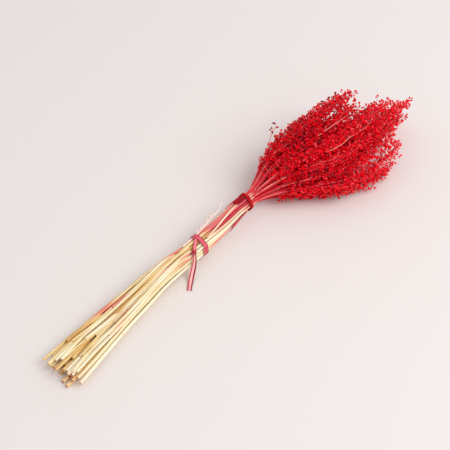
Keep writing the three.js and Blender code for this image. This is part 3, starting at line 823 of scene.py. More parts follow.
def head_branches(k, site, tip, first, rng):
    """The branches of head k in their spiral: their paths, lengths, the share of each that is bare and
    which of them stray, and their part of the piece."""
    room = tip - first
    count = max(BRANCHES_LEAST, round(room / BRANCHES_APART))
    number = np.arange(count) + rng.uniform(-BRANCH_STARTS_VARY, BRANCH_STARTS_VARY, count)
    share = np.clip(number / (count - 1), 0, 1)
    length = between(BRANCH_LONGEST, BRANCH_SHORTEST, share) * rng.uniform(*BRANCH_LONG_VARIES, count)
    length = length + FIRST_BRANCHES_LONGER * (1 - share) ** 2
    length = np.minimum(length, BRANCH_SHARE_OF_ROOM * room + FIRST_BRANCHES_LONGER)
    branches_from = NECK_TIE + BRANCHES_AFTER_TIE
    start = branches_from + share * (tip - GRAINS_PAST_TIP - length - branches_from)
    bare_to = first + rng.uniform(-BRANCH_BARE_VARIES, BRANCH_BARE_VARIES, count)
    bare = np.clip((bare_to - start) / length, *BRANCH_BARE)
    angle = np.arange(count) * GOLDEN_ANGLE + 2 * np.pi * chance(k, 6)
    slim = SLIM_PLUMES.get(k, 1)
    spread = slim * CELL * rng.uniform(*BRANCH_SPREADS, count) * (1 - PLUME_TAPER * share ** 2)
    stray = (rng.random(count) < STRAYS) & (share < STRAYS_BEFORE) & (k not in DENSE_PLUMES)
    spread = np.where(stray, CELL * rng.uniform(*STRAY_SPREADS, count), spread)
    if k == SPRIG_HEAD:
        start[SPRIG], length[SPRIG], spread[SPRIG], angle[SPRIG], bare[SPRIG] = SPRIG_SHAPE
        stray[SPRIG] = True
    t = np.linspace(0, 1, BRANCH_STATIONS)
    s = start[:, None] + length[:, None] * t
    off = spread[:, None] * np.sin(0.5 * np.pi * np.clip(t / BRANCH_SPREAD_BY, 0, 1)) ** BRANCH_ARCH
    off = off * np.clip(NARROWEST + (s - NARROW_FROM) / NARROW_OVER, NARROWEST, 1)
    way = angle[:, None] + rng.uniform(-BRANCH_TURNS, BRANCH_TURNS, count)[:, None] * t
    paths = drooped(place(s, *aside(site, off, way)), k, tip)
    paths = paths + rng.normal(scale=BRANCH_WANDERS, size=(count, 1, 3)) * (t ** 2)[None, :, None]
    paths[..., 2] = settled(paths[..., 2], BRANCH_ABOVE_TABLE)
    reference = any_side(paths[:, -1] - paths[:, 0], rng)[:, None]
    rings = rings_along(paths, BRANCH_RADIUS - BRANCH_THINS * t, BRANCH_SIDES, reference)
    dyes = np.clip(rng.normal(*BRANCH_DYE, count), *BRANCH_DYE_ENDS)
    return paths, length, bare, stray, stalk_part(rings, dyes)


def aside(site, off, way):
    """The places among the stalks that lie off the site by off spacings, at the angles way."""
    return site[0] + off * np.cos(way), site[1] + off * np.sin(way)


def stalk_part(rings, dyes):
    """Thin pointed stems over the rings, as a part of a head: one dye for each stem, or one for all."""
    points, faces = skin(rings, pointed=True)
    if np.ndim(dyes):
        dyes = np.repeat(dyes, len(points) // len(dyes))
    return points, faces, UNREAD, dyes, ON_STALK


STRAND_SIDES = 6
NECK_STRANDS = 5
NECK_STRAND_STATIONS = 8
NECK_STRAND_NARROW = 0.35
NECK_STRAND_TURNS = 0.5
NECK_STRAND_LONG = 62
NECK_STRAND_VARIES = (0.6, 1)
NECK_STRAND_RADIUS = 0.7
NECK_STRAND_THINS = 0.35
NECK_STRAND_OFF = (0.3, 1.0)
NECK_STRAND_DYES = (0.3, 0.55, 0.72, 0.85)
NECK_STRAND_SHARES = (0.15, 0.25, 0.3, 0.3)


def neck_strands(site, rng):
    """The thin stems that fill the neck, between the stalks, where the first branches leave them."""
    each = (NECK_STRANDS, 1)
    t = np.linspace(0, 1, NECK_STRAND_STATIONS)
    off = CELL * rng.uniform(*NECK_STRAND_OFF, each) * np.clip(NECK_STRAND_NARROW + t, 0, 1)
    way = rng.uniform(0, 2 * np.pi, each) + NECK_STRAND_TURNS * t
    reach = NECK_STRAND_LONG * rng.uniform(*NECK_STRAND_VARIES, each)
    paths = place(NECK_TIE + 1 + reach * t, *aside(site, off, way))
    rings = rings_along(paths, NECK_STRAND_RADIUS - NECK_STRAND_THINS * t, STRAND_SIDES)
    return stalk_part(rings, rng.choice(NECK_STRAND_DYES, NECK_STRANDS, p=NECK_STRAND_SHARES))


# Bare stems that lie over the plumes on the bunch's upper side, which faces this way.
FACES_VIEWER = math.radians(63)
BARE_STRANDS = 2
BARE_STRANDS_FROM = 0.7
BARE_STRAND_STATIONS = 10
BARE_STRAND_BEFORE_GRAINS = 10
BARE_STRAND_INTO_GRAINS = 0.45
BARE_STRAND_ASIDE = 0.8
BARE_STRAND_TURNS = 0.4
BARE_STRAND_ARCH = (0.12, 0.92)
BARE_STRAND_LONG = (28, 55)
BARE_STRAND_OFF = (0.7, 0.95)
BARE_STRAND_RADIUS = 0.48
BARE_STRAND_THINS = 0.25
BARE_STRAND_DYES = (0.2, 0.65)


def bare_strands(k, site, tip, first, rng):
    """The pale bare stems over head k."""
    each = (BARE_STRANDS, 1)
    latest = first + BARE_STRAND_INTO_GRAINS * (tip - first)
    start = rng.uniform(first - BARE_STRAND_BEFORE_GRAINS, latest, each)
    t = np.linspace(0, 1, BARE_STRAND_STATIONS)
    arch = np.sin(np.pi * between(*BARE_STRAND_ARCH, t)) ** 0.5
    off = CELL * rng.uniform(*BARE_STRAND_OFF, each) * arch
    way = FACES_VIEWER + rng.uniform(-BARE_STRAND_ASIDE, BARE_STRAND_ASIDE, each)
    way = way + rng.uniform(-BARE_STRAND_TURNS, BARE_STRAND_TURNS, each) * t
    s = start + rng.uniform(*BARE_STRAND_LONG, each) * t
    paths = drooped(place(s, *aside(site, off, way)), k, tip)
    rings = rings_along(paths, BARE_STRAND_RADIUS - BARE_STRAND_THINS * t, STRAND_SIDES)
    return stalk_part(rings, rng.uniform(*BARE_STRAND_DYES, BARE_STRANDS))


TWIGS_APART = 2.5
TWIGS_LEAST = 4
TWIGS_TO = 0.98
TWIGS_VARY = 0.02
TWIG_SIDES = 3
TWIG_AHEAD = 0.9
DENSER = 0.8
STRAYS_SPARSER = 1.6
TWIG_LONGEST = 7.6
TWIG_SHORTENS = 0.5
TWIG_LONG_VARIES = (0.55, 1.1)
TWIG_LEANS = (0.4, 0.85)
TWIG_BENDS = 0.14
TWIG_ABOVE_TABLE = 2.6
TWIG_RADII = np.array([0.24, 0.2, 0.16])
TWIG_DYES = (0.8, 0.95)
# No branch goes this way. The turn of the twigs round a branch is counted from it.
TWIG_REFERENCE = (0.1, 0.2, 1)


def twigs_of(k, paths, length, bare, stray, rng):
    """Where the twigs of head k start, their directions and lengths, and which are on stray branches."""
    roots, ways, reaches, on_stray = [], [], [], []
    usual_apart = TWIGS_APART * (DENSER if k in DENSE_PLUMES else 1)
    for b, path in enumerate(paths):
        apart = usual_apart * (STRAYS_SPARSER if stray[b] else 1)
        n = max(TWIGS_LEAST, int((1 - bare[b]) * length[b] / apart))
        at = np.linspace(bare[b], TWIGS_TO, n) + rng.uniform(-TWIGS_VARY, TWIGS_VARY, n)
        at = np.clip(at, 0, 1) * (BRANCH_STATIONS - 1)
        i = np.minimum(at.astype(int), BRANCH_STATIONS - 2)
        part_way = (at - i)[:, None]
        ahead = unit(path[i + 1] - path[i])
        turn = np.arange(n) * GOLDEN_ANGLE + rng.uniform(*ANY_START)
        side = unit(np.cross(ahead, TWIG_REFERENCE))
        out = side * np.cos(turn)[:, None] + np.cross(ahead, side) * np.sin(turn)[:, None]
        roots.append(path[i] * (1 - part_way) + path[i + 1] * part_way)
        ways.append(unit(TWIG_AHEAD * ahead + rng.uniform(*TWIG_LEANS, n)[:, None] * out))
        shorter = 1 - TWIG_SHORTENS * at / (BRANCH_STATIONS - 1)
        reaches.append(TWIG_LONGEST * shorter * rng.uniform(*TWIG_LONG_VARIES, n))
        on_stray.append(np.full(n, stray[b]))
    return [np.concatenate(group) for group in (roots, ways, reaches, on_stray)]


PEDICEL = 1.3
PEDICEL_AHEAD = 0.5
END_PEDICEL_ASIDE = 0.1
PEDICEL_INTO_GRAIN = 0.4
PEDICEL_RADII = np.array([0.2, 0.1])
PEDICEL_DYE = 0.88
PEDICEL_ABOVE_TABLE = 0.6
GRAINS_APART = 1.75
GRAINS_ON_TWIG = (2, 5)
GRAINS_DOWN_TWIG = 0.7
GRAIN_LEANS = 0.6
GRAIN_TURNS = 0.2
GRAIN_SIZES = (0.8, 1.12)
GRAIN_ABOVE_TABLE = 2.4
LOW_GRAINS = 5
LOW_GRAINS_TIP_DOWN = -0.1
# The grains' tint: usual, with painted light across the bunch, lighter towards the lower right in view,
# painted shade in the valleys between the plumes and on stray branches, and a few painted highlights.
DYE_USUAL = 0.6
PAINTED_LIGHT_ON_GRAINS = 0.0022
DYE_VARIES = 0.05
GRAIN_VARIES = 0.2
# Painted shade: grains on stray branches are darker, as where the light comes from behind them.
STRAY_PAINTED_SHADE = 0.4
# Painted shade in the valleys between the plumes: grains far from their head's stalk are darker.
VALLEY_FROM = 0.32
VALLEY_WIDE = 0.25
VALLEY_PAINTED_SHADE = 0.2
# Painted highlights: this share of the grains is set to full tint, a pale pink.
PAINTED_HIGHLIGHT_SHARE = 0.02


def twigs_and_grains(k, site, tip, stem, twigs, rng):
    """The twigs of head k, the fine pedicels that leave them, and a grain on each, as three parts."""
    root, way, reach, on_stray = twigs
    bend = rng.normal(scale=TWIG_BENDS, size=root.shape)
    sections = np.array([0, 0.5, 1])[None, :, None]
    paths = root[:, None] + reach[:, None, None] * (way[:, None] * sections + bend[:, None] * sections ** 2)
    paths[..., 2] = settled(paths[..., 2], TWIG_ABOVE_TABLE)
    reference = any_side(way, rng)[:, None]
    rings = rings_along(paths, TWIG_RADII, TWIG_SIDES, reference)
    twig_part = stalk_part(rings, rng.uniform(*TWIG_DYES))

    each = np.clip((reach / GRAINS_APART).astype(int), *GRAINS_ON_TWIG)
    which = np.repeat(np.arange(len(root)), each)
    number = np.arange(len(which)) - np.repeat(np.cumsum(each) - each, each)
    where = 1 - GRAINS_DOWN_TWIG * (number / np.maximum(each[which], 1))
    spot = root[which] + (reach[which] * where)[:, None] * (way[which] + bend[which] * where[:, None])
    out = any_side(way[which], rng) * np.where(number == 0, END_PEDICEL_ASIDE, 1)[:, None]
    hang = spot + PEDICEL * out + PEDICEL_AHEAD * way[which]
    hang[:, 2] = settled(hang[:, 2], GRAIN_ABOVE_TABLE)
    facing = unit(way[which] + GRAIN_LEANS * out + rng.normal(scale=GRAIN_TURNS, size=out.shape))
    level = np.maximum(facing[:, 2], LOW_GRAINS_TIP_DOWN)
    facing[:, 2] = np.where(hang[:, 2] < LOW_GRAINS, level, facing[:, 2])
    spot[:, 2] = np.maximum(spot[:, 2], PEDICEL_ABOVE_TABLE)
    paths = np.stack((spot, hang + PEDICEL_INTO_GRAIN * facing), axis=1)
    reference = any_side(paths[:, 1] - paths[:, 0], rng)[:, None]
    pedicel_part = stalk_part(rings_along(paths, PEDICEL_RADII, TWIG_SIDES, reference), PEDICEL_DYE)

    points, faces = grains(hang, facing, rng.uniform(*GRAIN_SIZES, len(which)), rng)
    middle = drooped(place(tip, *site), k, tip)
    seen = middle[1] - TO_ROW[1] + VIEW_ACROSS * middle[2]
    # Painted light: lighter grains on heads lower and further right in view, darker towards the upper left.
    usual = DYE_USUAL - PAINTED_LIGHT_ON_GRAINS * seen + rng.normal(scale=DYE_VARIES)
    core = np.stack([np.interp(hang[:, 0], stem[:, 0], stem[:, i]) for i in (1, 2)], axis=1)
    apart = np.stack([along(LAYOUT, i, hang[:, 0] - TO_ROW[0]) for i in (SPACING_Y, SPACING_Z)], axis=1)
    off_core = np.linalg.norm((hang[:, 1:] - core) / apart, axis=1)
    # Painted shade: darker towards the edge of each plume, in the valleys between the plumes.
    valley_shade = np.clip((off_core - VALLEY_FROM) / VALLEY_WIDE, 0, 1)
    # Stray branches' grains take painted shade.
    tint = rng.normal(usual, GRAIN_VARIES, len(which)) - STRAY_PAINTED_SHADE * on_stray[which]
    tint = np.clip(tint - VALLEY_PAINTED_SHADE * valley_shade, 0, 1)
    # Painted highlights: a few grains at full tint.
    tint = np.where(rng.random(len(which)) < PAINTED_HIGHLIGHT_SHARE, 1, tint)
    return [twig_part, pedicel_part, (points, faces, np.repeat(tint, len(GRAIN_POINTS)), UNREAD, ON_GRAIN)]


HEAD_SEED = 500
FIRST_GRAINS = 26
FIRST_GRAINS_VARY = 14


def head(k, across, up):
    """One seed head: its stalk, the branches in their spiral, their twigs, pedicels and grains."""
    rng = np.random.default_rng(HEAD_SEED + k)
    site = (across, up)
    tip = tip_of(k, across, up)
    first = NECK_TIE + FIRST_GRAINS + FIRST_GRAINS_VARY * chance(k, 5)
    stem, stem_part = head_stem(k, site, tip, first, rng)
    paths, length, bare, stray, branch_part = head_branches(k, site, tip, first, rng)
    parts = [stem_part, branch_part, neck_strands(site, rng)]
    if math.cos(FACES_VIEWER) * across + math.sin(FACES_VIEWER) * up > BARE_STRANDS_FROM:
        parts.append(bare_strands(k, site, tip, first, rng))
    twigs = twigs_of(k, paths, length, bare, stray, rng)
    parts.extend(twigs_and_grains(k, site, tip, stem, twigs, rng))
    piece = add_piece(f"seed_head_{k + 1:02d}", parts, [GRAIN, STALK])
    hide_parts(f"head_{k + 1:02d}")


for k, (across, up) in enumerate(SITES):
    head(k, across, up)

# The stripped side shoot: a thin pale stem whose twigs were pulled off, which left stubs like the teeth of
# a comb along its outer side. It is tucked under the lower tie, and its dry tip curls over.
LOWER_TIE = 195
SHOOT_START = 180
SHOOT_END = 238
SHOOT_RADIUS = 0.8
SHOOT_TIP_RADIUS = 0.6
SHOOT_FLESHED = 1.35
SHOOT_SIDE = math.radians(47)
SHOOT_FREE_FROM = LOWER_TIE + 6
SHOOT_RISE = 3.4
SHOOT_SIDES = 8
SHOOT_STATIONS = 40
SHOOT_SEED = 31
SHOOT_KNOBBLY = 0.08
SHOOT_KNOBS = 40
SHOOT_TAPERS_BY = 1.02
SHOOT_TAPERS_OVER = 0.06
SHOOT_BLUNT = 0.45
SHOOT_DYE = 0.45
SHOOT_DYE_FALLS = 0.5
SHOOT_DYED_AT = 0.35
SHOOT_DYE_UNEVEN = 0.15
SHOOT_DYE_WAVES = 23
# The tip's curl: how far it goes ahead, aside and up, how soon it goes ahead, and the arch it rises in.
CURL = (10, 4, 6)
CURL_AHEAD_EARLY = 0.8
CURL_ARCH = 0.75 * np.pi
CURL_STATIONS = 12
STUBS = 7
STUBS_FROM = 203
STUBS_TO = 233
STUB_STATIONS = 6
STUB_SIDES = 6
STUB_AHEAD = 3.0
STUB_UP = 4.8
STUB_VARIES = (0.8, 1.05)
STUB_THICK = 0.9
STUB_THINS = 0.55
# The powers by which a stub rises early, and goes ahead and thins late.
STUB_UP_EARLY = 0.85
STUB_AHEAD_LATE = 1.3
STUB_THINS_LATE = 1.5
STUB_TURNS = (-0.3, 0.4)
STUB_TURN_VARIES = 0.12
STUB_DYES = (0.15, 0.4)


def hull(s, angle, out, with_shoot=False):
    """Points round the bunch at the distances s: as far as it reaches towards the angles, and out."""
    s, angle = np.broadcast_arrays(np.asarray(s, float), angle)
    towards = np.stack((0 * angle, np.cos(angle), np.sin(angle)), axis=-1)
    middles = place(s[:, None], ACROSS, UP)
    radii = np.broadcast_to(along(LAYOUT, RADIUS, s)[:, None], middles.shape[:2])
    if with_shoot:
        middles = np.concatenate((middles, shoot_middle(s)[:, None]), axis=1)
        radii = np.concatenate((radii, np.full((len(s), 1), SHOOT_RADIUS)), axis=1)
    furthest = np.argmax(np.einsum("nik,nk->ni", middles, towards) + radii, axis=1)
    each = np.arange(len(s))
    return middles[each, furthest] + (radii[each, furthest] + out)[:, None] * towards


def shoot_middle(s):
    """The middle of the side shoot at the distances s: it lies on the bunch and rises off it."""
    middle = place(s, 0, 0)
    towards = np.array([0, math.cos(SHOOT_SIDE), math.sin(SHOOT_SIDE)])
    clear = (hull(s, SHOOT_SIDE, GAP + SHOOT_RADIUS) - middle) @ towards
    rise = SHOOT_RISE * smooth(ramped(s, SHOOT_FREE_FROM, SHOOT_END))
    return middle + (clear + rise)[:, None] * towards


def shoot_material():
    """Inner stem without its skin: pale, dull and fibrous, flushed with the dye."""
    material, tree, shader, number = new_material("stripped_stem")
    fibres = streaks(tree, along_mm=9, across_mm=0.5)
    colour = node(tree, "ValToRGB", "Color", Fac=number("dye"), stops=[
        (0, "#fff4ec"), (0.4, "#fde0d4"), (1, "#f4aca6")])
    fibrous = marked(tree, colour, fibres, [(0.4, "#404040"), (0.65, "#000000")], srgb("#e0a58c"))
    dress(tree, shader, fibrous, {"Roughness": 0.6})
    return material


def stub(at, turned, rng):
    """One stub of the shoot, which leaves it at the distance at and bends up and ahead."""
    root = shoot_middle(np.array([at]))[0]
    angle = SHOOT_SIDE + turned + rng.normal(scale=STUB_TURN_VARIES)
    reach = rng.uniform(*STUB_VARIES)
    t = np.linspace(0, 1, STUB_STATIONS)
    high = reach * STUB_UP * t ** STUB_UP_EARLY
    far = reach * STUB_AHEAD * t ** STUB_AHEAD_LATE
    path = root + np.stack((far, high * np.cos(angle), high * np.sin(angle)), axis=1)
    thick = STUB_THICK * (1 - STUB_THINS * t ** STUB_THINS_LATE)
    points, faces = skin(rings_along(path[None], thick[None], STUB_SIDES), pointed=True)
    return points, faces, UNREAD, between(*STUB_DYES, rng.random()), 0


def bare_shoot():
    """The stem, its stubs and its curled tip."""
    rng = np.random.default_rng(SHOOT_SEED)
    stem = shoot_middle(np.linspace(SHOOT_START, SHOOT_END - 1, SHOOT_STATIONS))
    t = np.linspace(0, 1, CURL_STATIONS)[1:]
    bend = np.stack((t ** CURL_AHEAD_EARLY, t ** 2, np.sin(CURL_ARCH * t)), axis=1) * CURL
    path = np.concatenate((stem, stem[-1] + bend))
    share = np.linspace(0, 1, len(path))
    radius = SHOOT_FLESHED * between(SHOOT_RADIUS, SHOOT_TIP_RADIUS, share)
    taper = np.clip((SHOOT_TAPERS_BY - share) / SHOOT_TAPERS_OVER, SHOOT_BLUNT, 1)
    radius = radius * (1 + SHOOT_KNOBBLY * np.sin(SHOOT_KNOBS * share)) * taper
    points, faces = skin(rings_along(path[None], radius[None], SHOOT_SIDES), pointed=True)
    dye = SHOOT_DYE - SHOOT_DYE_FALLS * np.abs(share - SHOOT_DYED_AT)
    dye = np.clip(dye + SHOOT_DYE_UNEVEN * np.sin(SHOOT_DYE_WAVES * share), 0, 1)
    parts = [(points, faces, UNREAD, by_ring(dye, SHOOT_SIDES), 0)]
    for i in range(STUBS):
        parts.append(stub(between(STUBS_FROM, STUBS_TO, i / STUBS), STUB_TURNS[i % 2], rng))
    piece = add_piece("stripped_side_shoot", parts, [shoot_material()])
    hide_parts("bare_shoot")


bare_shoot()

# Two dry leaf sheaths, left on the stalks near the neck: papery, ribbed lengthwise, split along one side
# and torn off at the end towards the straw. They took the dye well.
SHEATH_ROWS = 30
SHEATH_COLUMNS = 17
SHEATH_CLEAR = 0.4
SHEATH_THICK = 0.35
SHEATH_NARROW = 0.4
SHEATH_RIPPLE = 0.14
SHEATH_RIPPLES = 34
EDGE_LIFTS = 0.4
EDGE_DYE = 0.25
STRIPE_DYE = 0.14
STRIPES = 12
TORN_END_PALER = 0.2
# How far back a sheath is torn, from one edge to the other, as shares of its length.
TORN = (0.42, 0.26, 0.1, 0, 0.1)
# Each sheath: its two ends, the side it lies on, its spread, how far it stands off, its dye, which of its
# edges is torn off shorter, and its seed.
SHEATHS = {
    "sheath_left": (245, 269, 62, 1.1, 0.1, 0.84, 1, 11),
    "sheath_right": (234, 265, 196, 0.8, 0.8, 0.66, -1, 12),
}


def sheath_material():
    """Dry leaf: matt and papery, in ribs that run along it."""
    material, tree, shader, number = new_material("dyed_leaf_sheath")
    ribs = streaks(tree, along_mm=18, across_mm=0.7)
    colour = node(tree, "ValToRGB", "Color", Fac=number("dye"), stops=[
        (0, "#fbd6c4"), (0.3, "#f2838a"), (0.6, "#e43c56"), (0.8, "#c40a1e"), (1, "#8c0210")])
    ribbed = marked(tree, colour, ribs, [(0.35, "#808080"), (0.6, "#000000")], srgb("#8c0a1c"))
    gloss = {"Roughness": 0.62, "Specular IOR Level": 0.2}
    dress(tree, shader, ribbed, gloss, ribs, strength=0.5, depth=0.4)
    return material


SHEATH = sheath_material()


def sheath(name, start, end, side, spread, bulge, dye, torn_side, seed):
    """A thin leaf laid against the bunch: ragged at its narrow end, its long edges lifting a little."""
    rng = np.random.default_rng(seed)
    down = np.linspace(0, 1, SHEATH_ROWS)
    t, x = np.meshgrid(down, np.linspace(-0.5, 0.5, SHEATH_COLUMNS), indexing="ij")
    torn = np.interp(x[0], np.linspace(-0.5, 0.5, len(TORN)), TORN[::torn_side]) * (end - start)
    s = (start + t * (end - start) + (1 - t) ** 2 * torn).ravel()
    width = SHEATH_NARROW + (1 - SHEATH_NARROW) * np.sin(0.5 * np.pi * t)
    angle = (math.radians(side) - x * spread * width).ravel()
    to_edge = np.abs(2 * x) ** 3
    lift = EDGE_LIFTS * to_edge * np.sin(np.pi * t) + SHEATH_RIPPLE * np.sin(SHEATH_RIPPLES * x)
    clear = GAP + SHEATH_CLEAR + (lift + bulge * (1 - t)).ravel()
    low, high = (hull(s, angle, clear + thick).reshape(*t.shape, 3) for thick in (0, SHEATH_THICK))
    points, faces = skin(np.concatenate((low, high[:, ::-1]), axis=1)[None])
    stripes = rng.uniform(-STRIPE_DYE, STRIPE_DYE, STRIPES)
    stripe = np.interp(x, np.linspace(-0.5, 0.5, STRIPES), stripes)
    shade = np.clip(dye + stripe + EDGE_DYE * to_edge - TORN_END_PALER * (1 - t) ** 2, 0, 1)
    shade = np.concatenate((shade, shade[:, ::-1]), axis=1)
    piece = add_piece("leaf_" + name, [(points, faces, UNREAD, shade.ravel(), 0)], [SHEATH])
    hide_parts(name)


for name, sizes in SHEATHS.items():
    sheath(name, *sizes)

# The neck tie: dark red cotton twine, twisted from two plies. It is wound three times round the place
# where the stalks are closest, and covers where their straw ends and their dyed tops begin.
TWINE_THICK = 1.5
TURN_APART = 1.95
TIE_TURNS = 3
TIE_SAMPLES = 1200
TIE_POINTS = 330
PLY_SIDES = 6
PLY_PITCH = 4.2
PLY_OFF = 0.44
PLY_RADIUS = 0.54
# Painted shade on the twine: the tint of a ply where it turns in, and how much lighter it is where it turns
# out.
PLY_IN_PAINTED_SHADE = 0.15
PLY_PAINTED_LIGHT = 0.7
TWINE_FUZZ_PER_MM = 2.5


def gone_along(path):
    """How far along a path each of its points is."""
    return np.concatenate(([0], np.cumsum(np.linalg.norm(np.diff(path, axis=0), axis=1))))


def evenly(path, count):
    """The path again with its points evenly apart. Any further columns go along."""
    gone = gone_along(path[:, :3])
    at = np.linspace(0, gone[-1], count)
    return np.stack([np.interp(at, gone, column) for column in path.T], axis=1)


def round_bunch(s, angle, out, count, with_shoot=False):
    """A path laid round the bunch, and at each of its points the direction away from the bunch."""
    towards = np.stack((0 * angle, np.cos(angle), np.sin(angle)), axis=1)
    path = evenly(np.concatenate((hull(s, angle, out, with_shoot), towards), axis=1), count)
    return path[:, :3], unit(path[:, 3:])


def twine_material():
    """Twisted cotton: matt and soft, with painted shade where the plies meet. Its fuzz is drawn 0.4 mm
    across, much coarser than cotton's own, so that it shows."""
    material, tree, shader, number = new_material("dyed_cotton_twine")
    fuzz = node(tree, "TexNoise", "Fac", Vector=node(tree, "TexCoord", "Object"),
                Scale=MM_PER_M * TWINE_FUZZ_PER_MM, Detail=2.0)
    colour = node(tree, "ValToRGB", "Color", Fac=number("tint"), stops=[
        (0, "#6a0109"), (0.5, "#b4040e"), (1, "#dc0c1a")])
    fuzzy = marked(tree, colour, fuzz, [(0.4, "#606060"), (0.65, "#000000")], srgb("#5a0008"))
    dress(tree, shader, fuzzy, {"Roughness": 0.85, "Specular IOR Level": 0.3}, fuzz, strength=0.6)
    return material


def plies(path, outward):
    """The two strands that wind round each other along a path, as parts of one piece."""
    side = unit(np.cross(np.gradient(path, axis=0), outward))
    made = []
    for phase in (0, np.pi):
        turn = (2 * np.pi * gone_along(path) / PLY_PITCH + phase)[:, None]
        strand = path + PLY_OFF * (np.cos(turn) * side + np.sin(turn) * outward)
        points, faces = skin(rings_along(strand[None], PLY_RADIUS, PLY_SIDES))
        # Painted shade: each ply is lighter where it turns outward and darker where it turns in towards the
        # other ply.
        turned_out = 0.5 + 0.5 * np.sin(turn[:, 0])
        tint = np.repeat(PLY_IN_PAINTED_SHADE + PLY_PAINTED_LIGHT * turned_out, PLY_SIDES)
        made.append((points, faces, tint, UNREAD, 0))
    return made


def neck_tie():
    """Three turns of twine, which climb along the bunch from one end of the tie to the other."""
    turn = np.linspace(0, TIE_TURNS, TIE_SAMPLES)
    s = NECK_TIE + TURN_APART * (turn - 0.5 * TIE_TURNS) * (TIE_TURNS - 1) / TIE_TURNS
    path, outward = round_bunch(s, 2 * np.pi * turn, GAP + TWINE_THICK / 2, TIE_POINTS)
    piece = add_piece("neck_twine", plies(path, outward), [twine_material()])
    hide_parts("neck_tie")


neck_tie()

# The lower tie: a strip of dyed raffia, passed round twice and knotted on the side that faces the viewer.
# Raffia is a dried palm leaf: it curls in at its edges, where the dye shows darkest.
RAFFIA_THICK = 0.32
RAFFIA_RIBS_PER_MM = 1.4
STRIP_COLUMNS = 11
STRIP_ROWS = 150
STRIP_STRIPE = 0.12
STRIP_STRIPES = 7
STRIP_WRAPS = 0.43 * np.pi
STRIP_CURLS_LATE = 2.6
STRIP_EDGE_WIDE = 0.25
EASED_BY = 7
# The straight turn: its two ends, the side where it is widest, and its half width there and behind.
STRAIGHT_TURN = (-0.6 * np.pi, 1.5 * np.pi)
WIDEST_SIDE = 0.7 * np.pi
WIDENS = 1.1
NARROW_BEHIND = 1.3
TURNS_BESIDE = 1.5
STRAIGHT_CLEAR = 0.35
STRAIGHT_SAMPLES = 900
# The turn that slants back to the knot.
SLANT_TURN = -1.8 * np.pi
SLANT_LENGTH = 11
SLANT_HALF = 1.7
SLANT_CLEAR = 0.1
SLANT_SAMPLES = 1200
KNOT_SIDE = math.radians(105)
KNOT_BACK = 14
KNOT_AHEAD = math.radians(7)
KNOT_RADII = (3, 3.2, 2)
KNOT_PATH_RADII = (2.2, 2.4, 1.3)
KNOT_STRAND = 0.85
KNOT_POINTS = 64
KNOT_OPEN = 0.25
KNOT_DYE = 0.85
KNOT_DYE_UNEVEN = 0.12
KNOT_DYE_WAVES = 9
KNOT_SIDES = 8
KNOT_REFERENCE = (0.3, 0.2, 1)
KNOT_CLEAR = 0.2


def raffia_material():
    """Dyed raffia: a smooth leaf strip with a slight shine, pale inside and red at its edges. Its fine
    ribs are drawn 0.7 mm apart, coarser than real ones, so that they show."""
    material, tree, shader, number = new_material("dyed_raffia")
    ribs = node(tree, "TexNoise", "Fac", Vector=node(tree, "TexCoord", "Object"),
                Scale=MM_PER_M * RAFFIA_RIBS_PER_MM, Detail=2.0)
    colour = node(tree, "ValToRGB", "Color", Fac=number("dye"), stops=[
        (0, "#ffdcd6"), (0.3, "#ffb0ae"), (0.55, "#f07080"), (0.75, "#d83a50"), (1, "#8c0c1c")])
    ribbed = marked(tree, colour, ribs, [(0.4, "#303030"), (0.65, "#000000")], srgb("#c03040"))
    dress(tree, shader, ribbed, {"Roughness": 0.45}, ribs, strength=0.25, depth=0.2)
    return material


RAFFIA = raffia_material()


def strip(path, outward, half_width, curl, dye, edge_dye, seed, edge_from=0.4):
    """A leaf strip along a path: a thin closed section whose edges curl outward by the given height."""
    rng = np.random.default_rng(seed)
    side = unit(np.cross(np.gradient(path, axis=0), outward))
    x = np.linspace(-1, 1, STRIP_COLUMNS)
    half_width, curl = np.broadcast_to(half_width, len(path)), np.broadcast_to(curl, len(path))
    rise = curl[:, None] * np.abs(x) ** STRIP_CURLS_LATE
    lean = half_width[:, None] * np.sin(STRIP_WRAPS * x) / math.sin(STRIP_WRAPS)
    under = path[:, None] + lean[..., None] * side[:, None] + rise[..., None] * outward[:, None]
    over = under + RAFFIA_THICK * outward[:, None]
    points, faces = skin(np.concatenate((under, over[:, ::-1]), axis=1)[None])
    stripes = rng.uniform(-STRIP_STRIPE, STRIP_STRIPE, STRIP_STRIPES)
    stripe = np.interp(x, np.linspace(-1, 1, STRIP_STRIPES), stripes)
    shade = between(dye, edge_dye, ramped(np.abs(x), edge_from, edge_from + STRIP_EDGE_WIDE)) + stripe
    shade = np.clip(np.concatenate((shade, shade[::-1])), 0, 1)
    return points, faces, UNREAD, np.tile(shade, len(path)), 0


def eased(path):
    """The path with its corners rounded, the way that a stiff strip goes over them."""
    padded = np.pad(path, ((EASED_BY // 2, EASED_BY // 2), (0, 0)), mode="edge")
    even = np.ones(EASED_BY) / EASED_BY
    return np.stack([np.convolve(column, even, mode="valid") for column in padded.T], axis=1)


def knot():
    """An overhand knot of the same strip, drawn tight: a thick round strand on a clover-shaped path."""
    middle = hull(np.array([LOWER_TIE - KNOT_BACK]), KNOT_SIDE, GAP + KNOT_RADII[2] + KNOT_CLEAR)[0]
    t = np.linspace(KNOT_OPEN, 2 * np.pi - KNOT_OPEN, KNOT_POINTS)
    clover = np.stack((np.sin(t) + 2 * np.sin(2 * t), np.cos(t) - 2 * np.cos(2 * t), -np.sin(3 * t)), axis=1)
    stands = np.array([
        (1, 0, 0),
        (0, -math.sin(KNOT_SIDE), math.cos(KNOT_SIDE)),
        (0, math.cos(KNOT_SIDE), math.sin(KNOT_SIDE)),
    ])
    path = middle + (clover / (3, 3, 1) * KNOT_PATH_RADII) @ stands
    points, faces = skin(rings_along(path[None], KNOT_STRAND, KNOT_SIDES, KNOT_REFERENCE))
    dye = KNOT_DYE + KNOT_DYE_UNEVEN * np.sin(KNOT_DYE_WAVES * t)
    return points, faces, UNREAD, np.repeat(dye, KNOT_SIDES), 0


